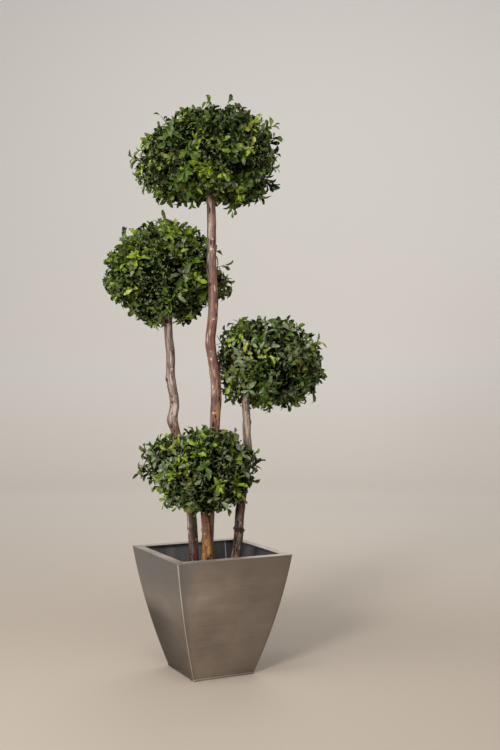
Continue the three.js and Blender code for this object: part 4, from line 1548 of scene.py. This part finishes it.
def leafTree():
    tree, entry, out = newTree("leafSprays", [
        ("Shapes", "NodeSocketCollection", None), ("Upper side", "NodeSocketMaterial", None),
        ("Underside", "NodeSocketMaterial", None),
    ])
    shapes = addNode(tree, "GeometryNodeCollectionInfo", {
        "Collection": entry.outputs["Shapes"], "Separate Children": True, "Reset Children": True,
    })
    instances = addNode(tree, "GeometryNodeInstanceOnPoints", {
        "Points": entry.outputs["Geometry"], "Instance": shapes.outputs["Instances"], "Pick Instance": True,
        "Instance Index": namedField(tree, "leafForm", "INT"),
        "Rotation": namedField(tree, "leafTurn", "QUATERNION"),
        "Scale": namedField(tree, "leafSize", "FLOAT"),
    })
    real = addNode(tree, "GeometryNodeRealizeInstances", {"Geometry": instances.outputs["Instances"]})
    upper = addNode(tree, "GeometryNodeSetMaterial", {
        "Geometry": real.outputs["Geometry"], "Material": entry.outputs["Upper side"],
    })
    under = addNode(tree, "GeometryNodeSetMaterial", {
        "Geometry": upper.outputs["Geometry"], "Selection": namedField(tree, "underside", "BOOLEAN"),
        "Material": entry.outputs["Underside"],
    })
    tree.links.new(under.outputs["Geometry"], out.inputs["Geometry"])
    return tree


def leafShape(name, curl, fold, twist, wave, bend):
    # One leaf of unit length along Y, upper side up: pointed at its foot, widest past its middle, blunt ended
    def middleAt(share):
        swell = math.sin(math.pi * share)
        return (bend * swell, share, leaves["arch"] * swell - curl * share ** 2)
    rows = leaves["rows"]
    points = [(0, 0, 0)]
    for index, (share, width) in enumerate(rows):
        half = leaves["halfWidth"] * width
        x, y, z = middleAt(share)
        sway = wave * (-1) ** index
        points += [
            (x - half, y, z + (fold - twist) * half + sway), (x, y, z),
            (x + half, y, z + (fold + twist) * half - sway), (x, y, z - leaves["thickness"]),
        ]
    points.append(middleAt(1))
    tip = len(points) - 1
    upper, under = [], []
    for middle, faces in ((2, upper), (4, under)):
        faces += [(0, 3, middle), (0, middle, 1)]
        for row in range(len(rows) - 1):
            low, high = row * 4, (row + 1) * 4
            faces.append((low + middle, low + 3, high + 3, high + middle))
            faces.append((low + 1, low + middle, high + middle, high + 1))
        last = (len(rows) - 1) * 4
        faces += [(last + middle, last + 3, tip), (last + 1, last + middle, tip)]
    mesh = newMesh(name, points, upper + [tuple(reversed(face)) for face in under])
    side = mesh.attributes.new("underside", "BOOLEAN", "FACE")
    side.data.foreach_set("value", [False] * len(upper) + [True] * len(under))
    margin = {0, tip, *(row * 4 + side for row in range(len(rows)) for side in (1, 3))}
    mesh.shade_smooth()
    for edge in mesh.edges:
        edge.use_edge_sharp = set(edge.vertices) <= margin
    return bpy.data.objects.new(name, mesh)


def leafPoints(name, grown, chosen):
    # A point for each chosen leaf, which carries its turn, size and form
    along, facing = turnToPlanter(grown["along"][chosen]), turnToPlanter(grown["facing"][chosen])
    across = np.cross(along, facing)
    turns = [Matrix((a, b, c)).transposed().to_quaternion() for a, b, c in zip(across, along, facing)]
    mesh = newMesh(name, turnToPlanter(grown["roots"][chosen]) * mm, [])
    setAttribute(mesh, "leafTurn", "QUATERNION", [tuple(turn) for turn in turns])
    setAttribute(mesh, "leafSize", "FLOAT", grown["size"][chosen] * mm)
    setAttribute(mesh, "leafForm", "INT", grown["form"][chosen])
    return mesh


def buildHeart(name, ball, finish):
    # A dark core in the middle, painted shade seen only between the leaves
    shape = bmesh.new()
    bmesh.ops.create_icosphere(shape, subdivisions=heart["detail"], radius=1.0)
    mesh = meshOf(f"{name}Heart", shape)
    directions = unit(np.array([v.co for v in mesh.vertices]))
    reach = clippedReach(ball, directions)
    lumps = fractal(directions * reach[:, None] / heart["lumpSize"], 0.6, 2.2, 5)
    points = ball["middle"] + directions * (reach * (heart["share"] + heart["lumps"] * lumps))[:, None]
    mesh.vertices.foreach_set("co", (turnToPlanter(points) * mm).astype(np.float32).ravel())
    mesh.update()
    settle(f"{name}_heart", mesh, finish, [name], sharpAngle=60)


def heartFinish():
    material, tree, shader = newMaterial("innerShade", heart["colour"], 1.0)
    shader.inputs["Specular IOR Level"].default_value = 0.0
    shadeMottle = objectNoise(tree, (140, 140, 140), detail=5.0, roughness=0.7)
    mixed = cover(tree, *heart["tones"], shadeMottle, 0.35, 0.7)
    tree.links.new(mixed, shader.inputs["Base Color"])
    roughen(tree, shader, shadeMottle, 1.0, 0.004)
    return material


def twigFinish():
    material, tree, shader = newMaterial("greenTwigs", twigs["colour"], 0.7)
    shader.inputs["Specular IOR Level"].default_value = 0.2
    patch = objectNoise(tree, (60, 60, 60), detail=3.0)
    mixed = cover(tree, *twigs["tones"], patch, 0.35, 0.65)
    tree.links.new(mixed, shader.inputs["Base Color"])
    roughen(tree, shader, patch, 0.3, 0.0005)
    return material


def leafFinish(name, colour, shine):
    # Plain leathery green with a thin waxy coat, dealt out by spray
    material, _, shader = newMaterial(name, colour, leaves["roughness"])
    shader.inputs["Specular IOR Level"].default_value = shine
    shader.inputs["Coat Weight"].default_value = shine * leaves["coatShare"]
    shader.inputs["Coat Roughness"].default_value = leaves["coatRoughness"]
    return material


def twigTubes(name, lines, tree, finish):
    # Thin tubes along all the lines
    edges, first = [], 0
    for points, _ in lines:
        edges += [(first + i, first + i + 1) for i in range(len(points) - 1)]
        first += len(points)
    chain = np.concatenate([points for points, _ in lines])
    skeleton = newMesh(f"{name}Skeleton", turnToPlanter(chain) * mm, [], edges)
    setAttribute(skeleton, "thickness", "FLOAT", np.concatenate([radii for _, radii in lines]) * mm)
    values = {"Sides": twigs["sides"], "Bark": finish}
    return grow(f"{name}Twigs", skeleton, tree, values, scratch=["thickness"])


def buildBall(name, ball, trees, finishes):
    draw = np.random.default_rng(ball["seed"])
    shoots, forks = growShoots(name, ball, draw)
    grown = growLeaves(name, ball, shoots, draw)
    buildHeart(name, ball, finishes["heart"])
    tubes = twigTubes(name, twigLines(ball, shoots, forks, draw), trees["twigs"], finishes["twigs"])
    settle(f"{name}_twigs", tubes, None, [name], sharpAngle=75)
    for index, tint in enumerate(leaves["tints"]):
        chosen = grown["tint"] == index
        if not chosen.any():
            continue
        points = leafPoints(f"{name}Points{tint}", grown, chosen)
        made = grow(f"{name}Leaves{tint}", points, trees["leaves"], {
            "Shapes": finishes["shapes"], "Upper side": finishes[tint], "Underside": finishes["underside"],
        }, scratch=["leafTurn", "leafSize", "leafForm", "underside"])
        settle(f"{name}_leaves_{tint}", made, None, [name], sharpAngle=0)
    print(name, "ready with", len(grown["size"]), "leaves on", len(shoots["ends"]), "shoots")


def buildFoliage():
    shapes = bpy.data.collections.new("leafShapes")
    for index, form in enumerate(leaves["forms"]):
        shapes.objects.link(leafShape(f"leafForm{index}", *form))
    finishes = {"heart": heartFinish(), "twigs": twigFinish(), "shapes": shapes}
    finishes["underside"] = leafFinish("leafUnderside", leaves["underside"], leaves["undersideShine"])
    for tint, (colour, _, _, shine) in leaves["tints"].items():
        finishes[tint] = leafFinish(f"leaf{tint.capitalize()}", colour, shine)
    trees = {"twigs": twigTree(), "leaves": leafTree()}
    for name, ball in balls.items():
        buildBall(name, ball, trees, finishes)
    for item in list(shapes.objects):
        bpy.data.objects.remove(item)


buildFoliage()
print("foliage ready")
